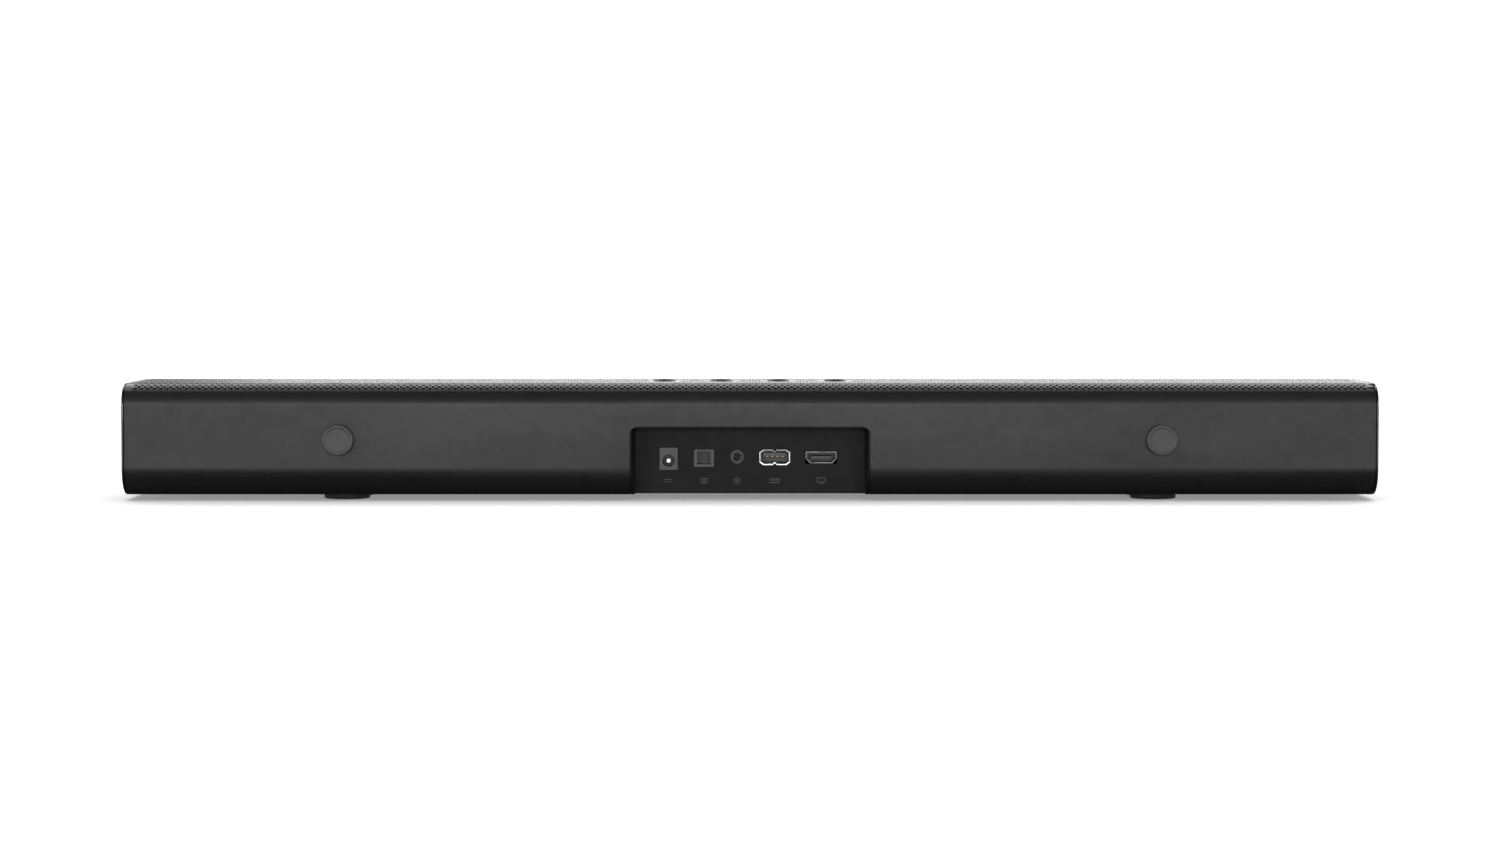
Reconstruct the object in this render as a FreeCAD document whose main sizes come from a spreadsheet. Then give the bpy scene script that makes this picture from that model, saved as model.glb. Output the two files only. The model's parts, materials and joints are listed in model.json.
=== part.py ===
"""Compact two-channel soundbar, as an assembly of separate pieces.

Millimetres. +Z is up, the front faces -Y and the rear faces +Y, so left and right are as seen from the front.
The origin is on the ground, midway across the overall width and the overall depth.
Every size is a cell of the sheet "dims"; expressions name the cells, and bind() ties them to the features.
"""
import FreeCAD, Part
import math
import os
import re
import Sketcher

SIZES = [
    # housing
    ("bar_width", 610, "overall width across the end caps"),
    ("body_depth", 76, "front of the grille to the rear face"),
    ("bar_height", 54.5, "underside to the top of the grille"),
    ("feet_height", 2.5, "ground to the underside"),
    ("front_top_round", 9, "radius of the housing's long corners"),
    ("front_bottom_round", 8, ""),
    ("rear_top_round", 11, ""),
    ("rear_bottom_round", 14, ""),
    ("cover_wall", 2.2, "wall of the rear cover"),
    ("cover_rise", 50.5, "underside to the cover's top edge"),
    ("cover_front", 13, "front of the grille to the cover's front edge"),
    ("seam_gap", 0.3, "gap along the seam of cover and grille"),
    ("grille_sheet", 0.8, "thickness of the perforated sheet"),
    ("cloth_sheet", 0.4, "thickness of the acoustic cloth"),
    ("layer_gap", 0.1, "air between grille, cloth and chassis"),
    ("chassis_wall", 2.4, "wall of the front chassis"),
    ("lip_clear", 0.2, "chassis lip to the inside of the cover"),
    ("lip_wall", 1.9, "wall of the chassis lip"),
    ("lip_overlap", 6, "how far the lip reaches behind the cover's edge"),
    # end caps
    ("cap_rim", 2, "thickness of an end cap"),
    ("cap_round", 1.4, "rounding of its outer edge"),
    ("cap_gap", 0.5, "shadow gap beside an end cap"),
    ("spigot_clear", 0.2, "cap spigot to the chassis lip"),
    ("spigot_wall", 1.6, "wall of the spigot"),
    ("spigot_reach", 4, "how far it enters the housing"),
    # feet and the screws they hide
    ("foot_radius", 11.25, "rubber foot"),
    ("foot_x", 197.5, "feet from the middle of the bar"),
    ("foot_rear", 25.5, "rear feet from the rear face"),
    ("foot_front", 25, "front feet from the front"),
    ("foot_round", 0.7, "rounding of a foot's lower edge"),
    ("foot_pin_radius", 2.9, "locating pin of a foot"),
    ("foot_pin_rise", 1.4, "its height"),
    ("seat_radius", 3.2, "screw-head seat in the cover"),
    ("seat_depth", 4, "its depth"),
    ("head_radius", 2.9, "housing screw head"),
    ("head_height", 2, "its height"),
    ("shank_radius", 1.5, "housing screw shank"),
    ("shank_length", 14, "its length"),
    ("screw_clear", 0.1, "shank to its hole"),
    ("cover_boss_radius", 4.6, "cover boss round a housing screw"),
    ("cover_boss_rise", 6.5, "its top above the underside"),
    ("column_radius", 4, "chassis column over a housing screw"),
    # wall mounts
    ("plug_x", 199, "wall mounts from the middle of the bar"),
    ("plug_radius", 7.5, "head of a rubber plug"),
    ("plug_proud", 4, "head above the rear face"),
    ("plug_round", 0.8, "rounding of the head"),
    ("skirt_radius", 5.8, "skirt of a plug, outside"),
    ("skirt_bore", 3.5, "skirt of a plug, inside"),
    ("skirt_reach", 3.7, "how far the skirt enters the cover"),
    ("skirt_clear", 0.15, "skirt to its pocket"),
    ("plug_pocket", 4, "depth of the pocket"),
    ("insert_radius", 4, "threaded insert, outside"),
    ("thread_radius", 2.1, "its M5 thread at the minor diameter"),
    ("insert_length", 10, "length of the insert"),
    ("insert_clear", 0.02, "insert to its hole"),
    ("mount_boss_wall", 2.2, "cover boss round pocket and insert"),
    # cable bay and port panel
    ("bay_width", 112.2, "clear width of the cable bay"),
    ("bay_rise", 31.5, "underside to the ceiling of the bay"),
    ("bay_depth", 21, "rear face to the port panel"),
    ("bay_round", 1.8, "upper corners of the bay"),
    ("panel_wall", 1.8, "wall of the port panel"),
    ("panel_clear", 0.25, "gap round the port panel"),
    ("flange_reach", 3, "panel flange behind the cover"),
    ("flange_wall", 1.5, "its thickness"),
    ("window_clear", 0.2, "gap round each socket"),
    # sockets: distance from the middle, height above the underside, and sizes of each
    ("dc_x", 39.8, "DC power jack"),
    ("dc_rise", 16.9, ""),
    ("dc_width", 9, ""),
    ("dc_height", 11, ""),
    ("dc_bore", 2.95, ""),
    ("dc_drop", 0.9, "bore below the middle of the jack"),
    ("dc_pin", 1.05, ""),
    ("dc_pocket", 9.5, ""),
    ("optic_x", 22.5, "optical jack"),
    ("optic_rise", 17.2, ""),
    ("optic_width", 9.9, ""),
    ("optic_height", 8.6, ""),
    ("optic_cavity", 6.6, ""),
    ("optic_cavity_height", 6.2, ""),
    ("optic_pocket", 7.5, ""),
    ("optic_lens", 2.05, ""),
    ("audio_x", 6.3, "3.5 mm audio jack"),
    ("audio_rise", 17.9, ""),
    ("audio_collar", 3.05, ""),
    ("audio_gap", 0.55, ""),
    ("audio_bore", 1.8, ""),
    ("audio_mouth", 2.35, ""),
    ("audio_body", 8, ""),
    ("audio_depth", 13, ""),
    ("data_x", -12.1, "data socket"),
    ("data_rise", 17.7, ""),
    ("data_width", 12.5, "opening of the data socket"),
    ("data_height", 5.1, ""),
    ("data_wall", 0.4, ""),
    ("data_lip", 1.2, "flared lip beyond the opening"),
    ("data_lip_sheet", 0.5, ""),
    ("data_tongue_width", 11.4, ""),
    ("data_tongue_sheet", 1.8, ""),
    ("data_contact_width", 1, ""),
    ("data_contact_sheet", 0.2, ""),
    ("data_contact_pitch", 2.5, ""),
    ("video_x", -34.8, "video socket"),
    ("video_rise", 17.6, ""),
    ("video_width", 14, "opening of the video socket"),
    ("video_height", 4.55, ""),
    ("video_foot", 10.2, "width of its narrow lower edge"),
    ("video_wall", 0.6, ""),
    ("video_tongue_width", 9.8, ""),
    ("video_tongue_sheet", 1.1, ""),
    ("socket_length", 13, "socket bodies behind the panel's face"),
    ("socket_heel", 2, "solid back of the metal sockets"),
    ("tongue_set_back", 1, "tongues behind the panel's face"),
    ("contact_set_back", 1.6, "contacts behind the panel's face"),
    ("tongue_gap", 0.3, "data tongue to the shell's ceiling"),
    ("lens_length", 3.5, "optical lens"),
    ("lens_seat", 2, "how deep the lens sits in its jack"),
    ("pin_set_back", 0.6, "centre pin behind the jack's mouth"),
    ("cavity_lift", 0.2, "optical cavity above the jack's middle"),
    ("nose_recess", 0.3, "plastic jacks behind the panel's face"),
    # boards
    ("board_sheet", 1.6, "thickness of the circuit boards"),
    ("board_rise", 13.9, "underside to the main board's upper face"),
    ("board_width", 150, "main board"),
    ("board_depth", 30, ""),
    ("board_gap", 0.4, "main board to the port panel"),
    ("post_x", 68, "board posts from the middle"),
    ("post_margin", 4.5, "board posts from the board's edges"),
    ("post_radius", 3, "board posts"),
    ("small_shank", 1.2, "board and driver screw shank"),
    ("small_head", 2.2, "its head"),
    ("small_head_height", 1.5, ""),
    ("small_reach", 4.5, "thread in the post"),
    ("sink_width", 34, "amplifier heatsink"),
    ("sink_depth", 13, ""),
    ("sink_height", 15, ""),
    ("sink_base", 3, ""),
    ("sink_fin", 1.2, ""),
    ("sink_fins", 7, "number of its fins"),
    ("sink_x", 18.7, "heatsink and processor from the middle"),
    ("chip_width", 11, "chips"),
    ("chip_height", 1.4, ""),
    ("can_radius", 4, "electrolytic capacitors"),
    ("can_height", 11, ""),
    ("can_pitch", 9.5, ""),
    ("can_gap", 5.4, "last capacitor to the screw beside it"),
    ("module_width", 16, "wireless module"),
    ("module_depth", 12, ""),
    ("module_height", 2.4, ""),
    ("module_gap", 1.7, "module to the screw beside it"),
    # buttons
    ("button_pitch", 28, "between neighbouring buttons"),
    ("button_radius", 5.8, "button shaft"),
    ("button_face", 4.5, "radius of the flat top"),
    ("button_proud", 1, "top above the grille"),
    ("button_bevel", 0.8, "height of the bevel"),
    ("button_clear", 0.3, "button to its holes"),
    ("button_collar", 1.2, "collar that keeps a button in"),
    ("button_stop", 0.1, "collar to the chassis"),
    ("button_stem", 2, "radius of the stem"),
    ("button_drop", 8.8, "top of the grille to the foot of the stem"),
    ("plunger_radius", 1.7, "switch plunger"),
    ("plunger_length", 1.8, ""),
    ("plunger_clear", 0.1, "plunger to the switch"),
    ("plunger_show", 0.8, "plunger above the switch"),
    ("switch_width", 6, "switch housing"),
    ("switch_height", 3.4, ""),
    ("switch_bore", 1.6, "depth of its well"),
    ("keyboard_width", 112, "button board"),
    ("keyboard_depth", 16, ""),
    ("keyboard_post_x", 52.5, "posts of the button board"),
    # indicator
    ("pipe_radius", 1.5, "light pipe"),
    ("pipe_clear", 0.1, "light pipe to its hole"),
    ("indicator_width", 30, "indicator board"),
    ("indicator_height", 14, ""),
    ("indicator_post", 3.2, "posts behind the baffle"),
    # drivers: radii, and depths behind the face of the flange
    ("driver_x", 232, "drivers from the middle of the bar"),
    ("driver_flange", 44, "side of the square flange"),
    ("driver_sheet", 1.2, "sheet of the driver frame"),
    ("driver_hole", 18.2, "opening of the flange"),
    ("driver_screw", 18.5, "screws from the driver's axis, each way"),
    ("baffle_ring", 4, "depth of the ring behind the baffle"),
    ("baffle_hole", 20.4, "opening of the baffle"),
    ("baffle_ring_wall", 2.8, ""),
    ("gasket_sheet", 0.8, "foam gasket"),
    ("gasket_outer", 22, ""),
    ("basket_depth", 12.4, "flange face to the back of the basket"),
    ("basket_back", 14.5, "radius of the basket's back"),
    ("basket_window", 8, "width of its windows"),
    ("gap_outer", 7.3, "magnetic gap"),
    ("pole_radius", 6, "pole piece"),
    ("plate_sheet", 2.5, "front and back plates"),
    ("magnet_radius", 17, "ring magnet"),
    ("magnet_bore", 9, ""),
    ("magnet_height", 7, ""),
    ("yoke_radius", 15, ""),
    ("coil_inner", 6.35, "voice coil"),
    ("coil_outer", 6.85, ""),
    ("coil_reach", 20, ""),
    ("cone_edge", 14.8, "cone"),
    ("cone_depth", 8.3, ""),
    ("cone_sheet", 0.5, ""),
    ("cap_dome", 2.2, "height of the dust cap"),
    ("roll_radius", 1.8, "half roll of the surround"),
    ("roll_sheet", 0.4, ""),
    ("surround_outer", 20.2, ""),
    ("spider_depth", 11, "spider, beyond the cone's inward travel"),
    ("spider_sheet", 0.4, ""),
    ("spider_outer", 13.5, ""),
    # speaker leads
    ("lead_radius", 0.6, "insulated lead"),
    ("lead_pitch", 2, "between the two leads of a pair"),
]

# Places that several pieces share, as expressions of the sizes.
FRONT = "(-(body_depth + plug_proud) / 2)"
REAR = "((body_depth - plug_proud) / 2)"
FLOOR = "feet_height"
TOP = "(feet_height + bar_height)"
MID = "(feet_height + bar_height / 2)"
CAP_PLANE = "(bar_width / 2 - cap_rim)"
BODY_END = "(bar_width / 2 - cap_rim - cap_gap)"
COVER_EDGE_Y = f"({FRONT} + cover_front)"
COVER_EDGE_Z = f"({FLOOR} + cover_rise)"
CLOTH_IN = "(grille_sheet + layer_gap)"
CHASSIS_IN = "(grille_sheet + cloth_sheet + 2 * layer_gap)"
CHASSIS_INNER = f"({CHASSIS_IN} + chassis_wall)"
LIP_IN = "(cover_wall + lip_clear)"
LIP_INNER = f"({LIP_IN} + lip_wall)"
SPIGOT_IN = f"({LIP_INNER} + spigot_clear)"
PANEL_FACE = f"({REAR} - bay_depth)"
PANEL_BACK = f"({PANEL_FACE} - panel_wall)"
BOARD_TOP = f"({FLOOR} + board_rise)"
BOARD_REAR = f"({PANEL_BACK} - board_gap)"
BOARD_FRONT = f"({BOARD_REAR} - board_depth)"
BUTTON_Y = f"({FRONT} + body_depth / 2)"
DECK_UNDER = f"({TOP} - {CHASSIS_INNER})"
STEM_FOOT = f"({TOP} - button_drop)"
SWITCH_TOP = f"({STEM_FOOT} - plunger_show)"
KEYBOARD_TOP = f"({SWITCH_TOP} - switch_height)"
BAFFLE_BACK = f"({FRONT} + {CHASSIS_INNER})"
DRIVER_FACE = f"({BAFFLE_BACK} + baffle_ring + gasket_sheet)"
INSERT_FACE = f"({REAR} - plug_pocket)"
BOSS_TOP = f"({FLOOR} + cover_boss_rise)"
PAST = 1  # how far a cutting tool runs past a face

SIDES = {"left": -1, "right": 1}
BUTTONS = {"power": -1.5, "source": -0.5, "volume_down": 0.5, "volume_up": 1.5}
FEET = {
    "front": f"({FRONT} + foot_front)",
    "rear": f"({REAR} - foot_rear)",
}

doc = FreeCAD.newDocument("soundbar")
sheet = doc.addObject("Spreadsheet::Sheet", "dims")
for row, (alias, value, meaning) in enumerate(SIZES, 1):
    sheet.set(f"A{row}", meaning or alias.replace("_", " "))
    sheet.set(f"B{row}", str(value))
    sheet.setAlias(f"B{row}", alias)
doc.recompute()

WORD = re.compile("|".join(rf"\b{alias}\b" for alias, _, _ in SIZES))
TURNS = {
    "x": FreeCAD.Rotation(FreeCAD.Vector(0, 1, 0), 90),
    "y": FreeCAD.Rotation(FreeCAD.Vector(1, 0, 0), -90),
    "z": FreeCAD.Rotation(),
}
nodes = []


def bind(thing, prop, text):
    """Tie a property to an expression of the sheet's sizes."""
    thing.setExpression(prop, WORD.sub(lambda found: f"dims.{found.group()}", str(text)))


def place(thing, at, along="z"):
    """Put a piece at a bound place, with its own Z axis along the named one."""
    thing.Placement = FreeCAD.Placement(FreeCAD.Vector(), TURNS[along])
    for axis, text in zip("xyz", at):
        bind(thing, f"Placement.Base.{axis}", text)


def node(thing):
    """List a finished piece for export under its label."""
    nodes.append(thing)
    return thing


# ---- solids

def block(name, low, high):
    """Box between two corners."""
    solid = doc.addObject("Part::Box", name)
    for prop, start, end in zip(("Length", "Width", "Height"), low, high):
        bind(solid, prop, f"({end}) - ({start})")
    place(solid, low)
    return solid


def rod(name, start, length, radius, along="z"):
    """Cylinder from a point, along an axis."""
    solid = doc.addObject("Part::Cylinder", name)
    bind(solid, "Radius", radius)
    bind(solid, "Height", length)
    place(solid, start, along)
    return solid


def fused(name, *parts):
    """Union of overlapping solids."""
    whole = doc.addObject("Part::MultiFuse", name)
    whole.Shapes = list(parts)
    return whole


def cut(name, base, *tools):
    """Base with every tool taken away."""
    left = doc.addObject("Part::Cut", name)
    left.Base = base
    left.Tool = tools[0] if len(tools) == 1 else fused(f"{name}_tools", *tools)
    return left


def common(name, *parts):
    """What the parts have in common."""
    shared = doc.addObject("Part::MultiCommon", name)
    shared.Shapes = list(parts)
    return shared


def group(name, parts):
    """Identical separate solids that share a node."""
    several = doc.addObject("Part::Compound", name)
    several.Links = list(parts)
    return several


# ---- sketched bodies

def sketch(body, role, outlines, offset="0"):
    """Sketch on an origin plane: closed outlines, each a list of bound corner points."""
    plane = next(item for item in body.Origin.OriginFeatures if item.Role == role)
    drawing = body.newObject("Sketcher::SketchObject", f"{body.Name}_sketch")
    drawing.AttachmentSupport = [(plane, "")]
    drawing.MapMode = "FlatFace"
    bind(drawing, "AttachmentOffset.Base.z", offset)
    for ring, corners in enumerate(outlines, 1):
        first = drawing.GeometryCount
        count = len(corners)
        turn = 2 * math.pi / count
        start = [FreeCAD.Vector(math.cos(turn * i), math.sin(turn * i), 0) * ring for i in range(count)]
        for i in range(count):
            drawing.addGeometry(Part.LineSegment(start[i], start[(i + 1) % count]))
        for i, corner in enumerate(corners):
            drawing.addConstraint(
                Sketcher.Constraint("Coincident", first + i, 2, first + (i + 1) % count, 1))
            for kind, now, text in zip(("DistanceX", "DistanceY"), start[i], corner):
                index = drawing.addConstraint(Sketcher.Constraint(kind, -1, 1, first + i, 1, now))
                bind(drawing, f"Constraints[{index}]", text)
    return drawing


def new_body(name, at=("0", "0", "0")):
    """Empty PartDesign body at a bound place."""
    body = doc.addObject("PartDesign::Body", name)
    place(body, at)
    return body


def pad(body, drawing, length):
    """Pad a sketch along its plane's normal."""
    feature = body.newObject("PartDesign::Pad", f"{body.Name}_pad")
    feature.Profile = drawing
    bind(feature, "Length", length)
    return feature


def turned(name, axis, outline, at=("0", "0", "0")):
    """Piece turned about Y or Z from an outline of (radius, position) points."""
    body = new_body(name, at)
    drawing = sketch(body, {"y": "XY_Plane", "z": "XZ_Plane"}[axis], [outline])
    spin = body.newObject("PartDesign::Revolution", f"{body.Name}_turn")
    spin.Profile = drawing
    spin.ReferenceAxis = (drawing, ["V_Axis"])
    spin.Angle = 360
    return body


def soften(body, chosen, radius):
    """Fillet every edge of the body's tip that the test chooses."""
    doc.recompute()
    tip = body.Tip
    names = [f"Edge{i}" for i, edge in enumerate(tip.Shape.Edges, 1) if chosen(edge)]
    feature = body.newObject("PartDesign::Fillet", f"{body.Name}_round")
    feature.Base = (tip, names)
    bind(feature, "Radius", radius)
    return feature


def near(value, target):
    """Whether two lengths are the same."""
    return abs(value - target) < 1e-4


def in_plane(axis, level):
    """Test for edges that lie in the plane across an axis at a level."""
    return lambda edge: all(near(getattr(edge.BoundBox, f"{axis}{end}"), level) for end in ("Min", "Max"))


def bar(name, inset, start, end):
    """Solid stretch of the housing's rounded section, drawn in by inset, from x = start to x = end."""
    front, rear = f"{FRONT} + {inset}", f"{REAR} - {inset}"
    under, over = f"{FLOOR} + {inset}", f"{TOP} - {inset}"
    body = new_body(name)
    corners = [(front, under), (rear, under), (rear, over), (front, over)]
    pad(body, sketch(body, "YZ_Plane", [corners], start), f"({end}) - ({start})")
    doc.recompute()
    extent = body.Shape.BoundBox
    for y, z, radius in (
        (extent.YMin, extent.ZMin, "front_bottom_round"),
        (extent.YMax, extent.ZMin, "rear_bottom_round"),
        (extent.YMax, extent.ZMax, "rear_top_round"),
        (extent.YMin, extent.ZMax, "front_top_round"),
    ):
        soften(
            body,
            lambda edge: all(near(p.Point.y, y) and near(p.Point.z, z) for p in edge.Vertexes),
            f"{radius} - {inset}",
        )
    return body


def long_bar(name, inset, end=BODY_END):
    """Bar that runs the length of the housing."""
    return bar(name, inset, f"-{end}", end)


def housing_layer(name, outer, inner, end=BODY_END):
    """Tube between two insets of the housing's section."""
    hollow = long_bar(f"{name}_inner", inner, f"({end} + {PAST})")
    return cut(name, long_bar(f"{name}_outer", outer, end), hollow)


def cover_side(name, ahead, above):
    """The space on the cover's side of the seam, moved forward and up by the given gaps."""
    return block(
        name,
        (f"-bar_width / 2 - {PAST}", f"{COVER_EDGE_Y} - ({ahead})", f"{FLOOR} - {PAST}"),
        (f"bar_width / 2 + {PAST}", f"{REAR} + {PAST}", f"{COVER_EDGE_Z} + ({above})"),
    )


# ---- screws

def screw(name, at, head_radius, head_height, shank_radius, length, axis="z", way=1):
    """Pan-head screw, its head seated at the given place and its shank pointing along way times the axis."""
    outline = [
        ("0", f"{-way} * {head_height}"),
        (head_radius, f"{-way} * {head_height}"),
        (head_radius, "0"),
        (shank_radius, "0"),
        (shank_radius, f"{way} * ({length})"),
        ("0", f"{way} * ({length})"),
    ]
    return turned(name, axis, outline, at)


def small_screw(name, at, grip, axis="z", way=1):
    """The screw that holds boards and drivers, through a plate of the given thickness."""
    length = f"{grip} + small_reach"
    return screw(name, at, "small_head", "small_head_height", "small_shank", length, axis, way)


# ---- rear cover, port panel and wall mounts

def wall_mount_places():
    """Side name and bound x of each wall mount."""
    return [(side, f"{sign} * plug_x") for side, sign in SIDES.items()]


def foot_places():
    """Name, x and y of each foot and of the housing screw above it."""
    return [
        (f"{row}_{side}", f"{sign} * foot_x", y)
        for row, y in FEET.items()
        for side, sign in SIDES.items()
    ]


def board_post_places():
    """x and y of the main board's posts."""
    return [
        (f"{sign} * post_x", y)
        for sign in SIDES.values()
        for y in (f"({BOARD_FRONT} + post_margin)", f"({BOARD_REAR} - post_margin)")
    ]


def bay_space(name, grow, low_y, high_y):
    """Space of the cable bay, grown at its sides and ceiling, with rounded upper corners."""
    half = f"(bay_width / 2 + {grow})"
    ceiling = f"{FLOOR} + bay_rise + {grow}"
    under = f"{FLOOR} - {PAST}"
    body = new_body(name)
    corners = [(f"-{half}", under), (half, under), (half, ceiling), (f"-{half}", ceiling)]
    pad(body, sketch(body, "XZ_Plane", [corners], f"-({high_y})"), f"({high_y}) - ({low_y})")
    doc.recompute()
    roof = body.Shape.BoundBox.ZMax
    soften(
        body,
        lambda edge: all(near(p.Point.z, roof) for p in edge.Vertexes) and edge.BoundBox.YLength > PAST,
        f"bay_round + {grow}",
    )
    return body


def make_rear_cover():
    """Moulding of underside, rear face and rear shoulder, as four nodes that meet round the bay cut-out."""
    tube = housing_layer("cover_tube", "0", "cover_wall")
    added, taken = [common("cover_shell", tube, cover_side("cover_keep", 0, 0))], []
    pocket = "skirt_radius + skirt_clear"
    for side, x in wall_mount_places():
        depth = "plug_pocket + insert_length + mount_boss_wall - cover_wall / 2"
        start = (x, f"{REAR} - plug_pocket - insert_length - mount_boss_wall", MID)
        added.append(rod(f"mount_boss_{side}", start, depth, f"{pocket} + mount_boss_wall", "y"))
        taken.append(rod(f"mount_pocket_{side}", (x, INSERT_FACE, MID), f"plug_pocket + {PAST}", pocket, "y"))
        hole_start = (x, f"{INSERT_FACE} - insert_length", MID)
        taken.append(rod(f"insert_hole_{side}", hole_start, f"insert_length + {PAST}",
                         "insert_radius + insert_clear", "y"))
    for name, x, y in foot_places():
        boss_start, height = (x, y, f"{FLOOR} + cover_wall / 2"), "cover_boss_rise - cover_wall / 2"
        added.append(rod(f"foot_boss_{name}", boss_start, height, "cover_boss_radius"))
        seat_start = (x, y, f"{FLOOR} - {PAST}")
        taken.append(rod(f"foot_seat_{name}", seat_start, f"seat_depth + {PAST}", "seat_radius"))
        taken.append(rod(f"foot_hole_{name}", seat_start, f"cover_boss_rise + {2 * PAST}",
                         "shank_radius + screw_clear"))
    for i, (x, y) in enumerate(board_post_places()):
        post_start, height = (x, y, f"{FLOOR} + cover_wall / 2"), "board_rise - board_sheet - cover_wall / 2"
        added.append(rod(f"board_post_{i}", post_start, height, "post_radius"))
        hole_start = (x, y, f"{BOARD_TOP} - board_sheet - small_reach - screw_clear")
        taken.append(rod(f"board_post_hole_{i}", hole_start, f"small_reach + {PAST}",
                         "small_shank + screw_clear"))
    taken.append(bay_space("bay_cutout", "(panel_wall + panel_clear)",
                           f"{PANEL_BACK} - panel_clear", f"{REAR} + {PAST}"))
    moulding = cut("cover_moulding", fused("cover_with_bosses", *added), *taken)
    joint, end = "(bay_width / 2 + panel_wall / 2)", f"(bar_width / 2 + {PAST})"
    bay_middle = f"({FLOOR} + bay_rise / 2)"
    zones = {
        "left": (f"-{end}", f"{FLOOR} - {PAST}", f"-{joint}", TOP),
        "right": (joint, f"{FLOOR} - {PAST}", end, TOP),
        "over_bay": (f"-{joint}", bay_middle, joint, TOP),
        "underside": (f"-{joint}", f"{FLOOR} - {PAST}", joint, bay_middle),
    }
    for name, (start, low, stop, high) in zones.items():
        zone = block(f"cover_zone_{name}", (start, f"{FRONT} - {PAST}", low), (stop, f"{REAR} + {PAST}", high))
        node(common(f"rear_cover_{name}", moulding, zone))


def make_port_panel():
    """Tray that lines the cable bay, flanged behind the cover, with a window for each socket."""
    tray = common(
        "panel_tray",
        bay_space("panel_outside", "panel_wall", PANEL_BACK, f"{REAR} + {PAST}"),
        long_bar("panel_envelope", "0"),
    )
    reach = "(panel_wall + panel_clear + flange_reach)"
    flange = block(
        "panel_flange",
        (f"-bay_width / 2 - {reach}", f"{REAR} - cover_wall - flange_wall", f"{FLOOR} + rear_bottom_round"),
        (f"bay_width / 2 + {reach}", f"{REAR} - cover_wall", f"{FLOOR} + bay_rise + {reach}"),
    )
    windows = [
        window("dc", "dc_width", "dc_height"),
        window("optic", "optic_width", "optic_height"),
        window("data", "data_width + 2 * data_wall", "data_height + 2 * data_wall"),
        window("video", "video_width + 2 * video_wall", "video_height + 2 * video_wall"),
        rod("audio_window", ("audio_x", f"{PANEL_BACK} - {PAST}", f"{FLOOR} + audio_rise"),
            f"panel_wall + {2 * PAST}", "audio_collar + audio_gap", "y"),
    ]
    inside = bay_space("panel_inside", "0", PANEL_FACE, f"{REAR} + {2 * PAST}")
    node(cut("port_panel", fused("panel_solid", tray, flange), inside, *windows))


def window(socket, width, height):
    """Cutter for one socket's rectangular window in the panel."""
    half_x, half_z = f"(({width}) / 2 + window_clear)", f"(({height}) / 2 + window_clear)"
    middle = f"{FLOOR} + {socket}_rise"
    return block(
        f"{socket}_window",
        (f"{socket}_x - {half_x}", f"{PANEL_BACK} - {PAST}", f"{middle} - {half_z}"),
        (f"{socket}_x + {half_x}", f"{PANEL_FACE} + {PAST}", f"{middle} + {half_z}"),
    )


def make_wall_mounts():
    """Rubber plugs that pull out of the rear face, and the threaded inserts behind them."""
    inserts = []
    for side, x in wall_mount_places():
        plug = turned(f"wall_plug_{side}", "y", [
            ("0", "plug_proud"),
            ("plug_radius", "plug_proud"),
            ("plug_radius", "0"),
            ("skirt_radius", "0"),
            ("skirt_radius", "-skirt_reach"),
            ("skirt_bore", "-skirt_reach"),
            ("skirt_bore", "plug_round"),
            ("0", "plug_round"),
        ], (x, REAR, MID))
        doc.recompute()
        soften(plug, in_plane("Y", plug.Tip.Shape.BoundBox.YMax), "plug_round")
        node(plug)
        inserts.append(turned(f"wall_insert_{side}", "y", [
            ("thread_radius", "0"),
            ("insert_radius", "0"),
            ("insert_radius", "-insert_length"),
            ("thread_radius", "-insert_length"),
        ], (x, INSERT_FACE, MID)))
    node(group("wall_inserts", inserts))


# ---- grille, cloth, chassis and end caps

def button_places():
    """Name and bound x of each button."""
    return [(name, f"{step} * button_pitch") for name, step in BUTTONS.items()]


def button_holes(name):
    """Cutters for the buttons' holes through the top."""
    low, depth = f"{DECK_UNDER} - {PAST}", f"{CHASSIS_INNER} + {2 * PAST}"
    return [
        rod(f"{name}_hole_{button}", (x, BUTTON_Y, low), depth, "button_radius + button_clear")
        for button, x in button_places()
    ]


def make_grille_and_cloth():
    """Sheet that wraps top and front down to the seam, and the cloth behind it."""
    for name, outer, inner in (
        ("grille", "0", "grille_sheet"),
        ("grille_cloth", CLOTH_IN, f"({CLOTH_IN} + cloth_sheet)"),
    ):
        away = cover_side(f"{name}_away", "seam_gap", "seam_gap")
        node(cut(name, housing_layer(f"{name}_tube", outer, inner), away, *button_holes(name)))


def driver_places():
    """Side name, sign and bound x of each driver."""
    return [(side, sign, f"{sign} * driver_x") for side, sign in SIDES.items()]


def driver_screw_places(x):
    """x and z of the four screws round a driver."""
    return [
        (f"{x} + {right} * driver_screw", f"{MID} + {up} * driver_screw")
        for right in (-1, 1)
        for up in (-1, 1)
    ]


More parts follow.
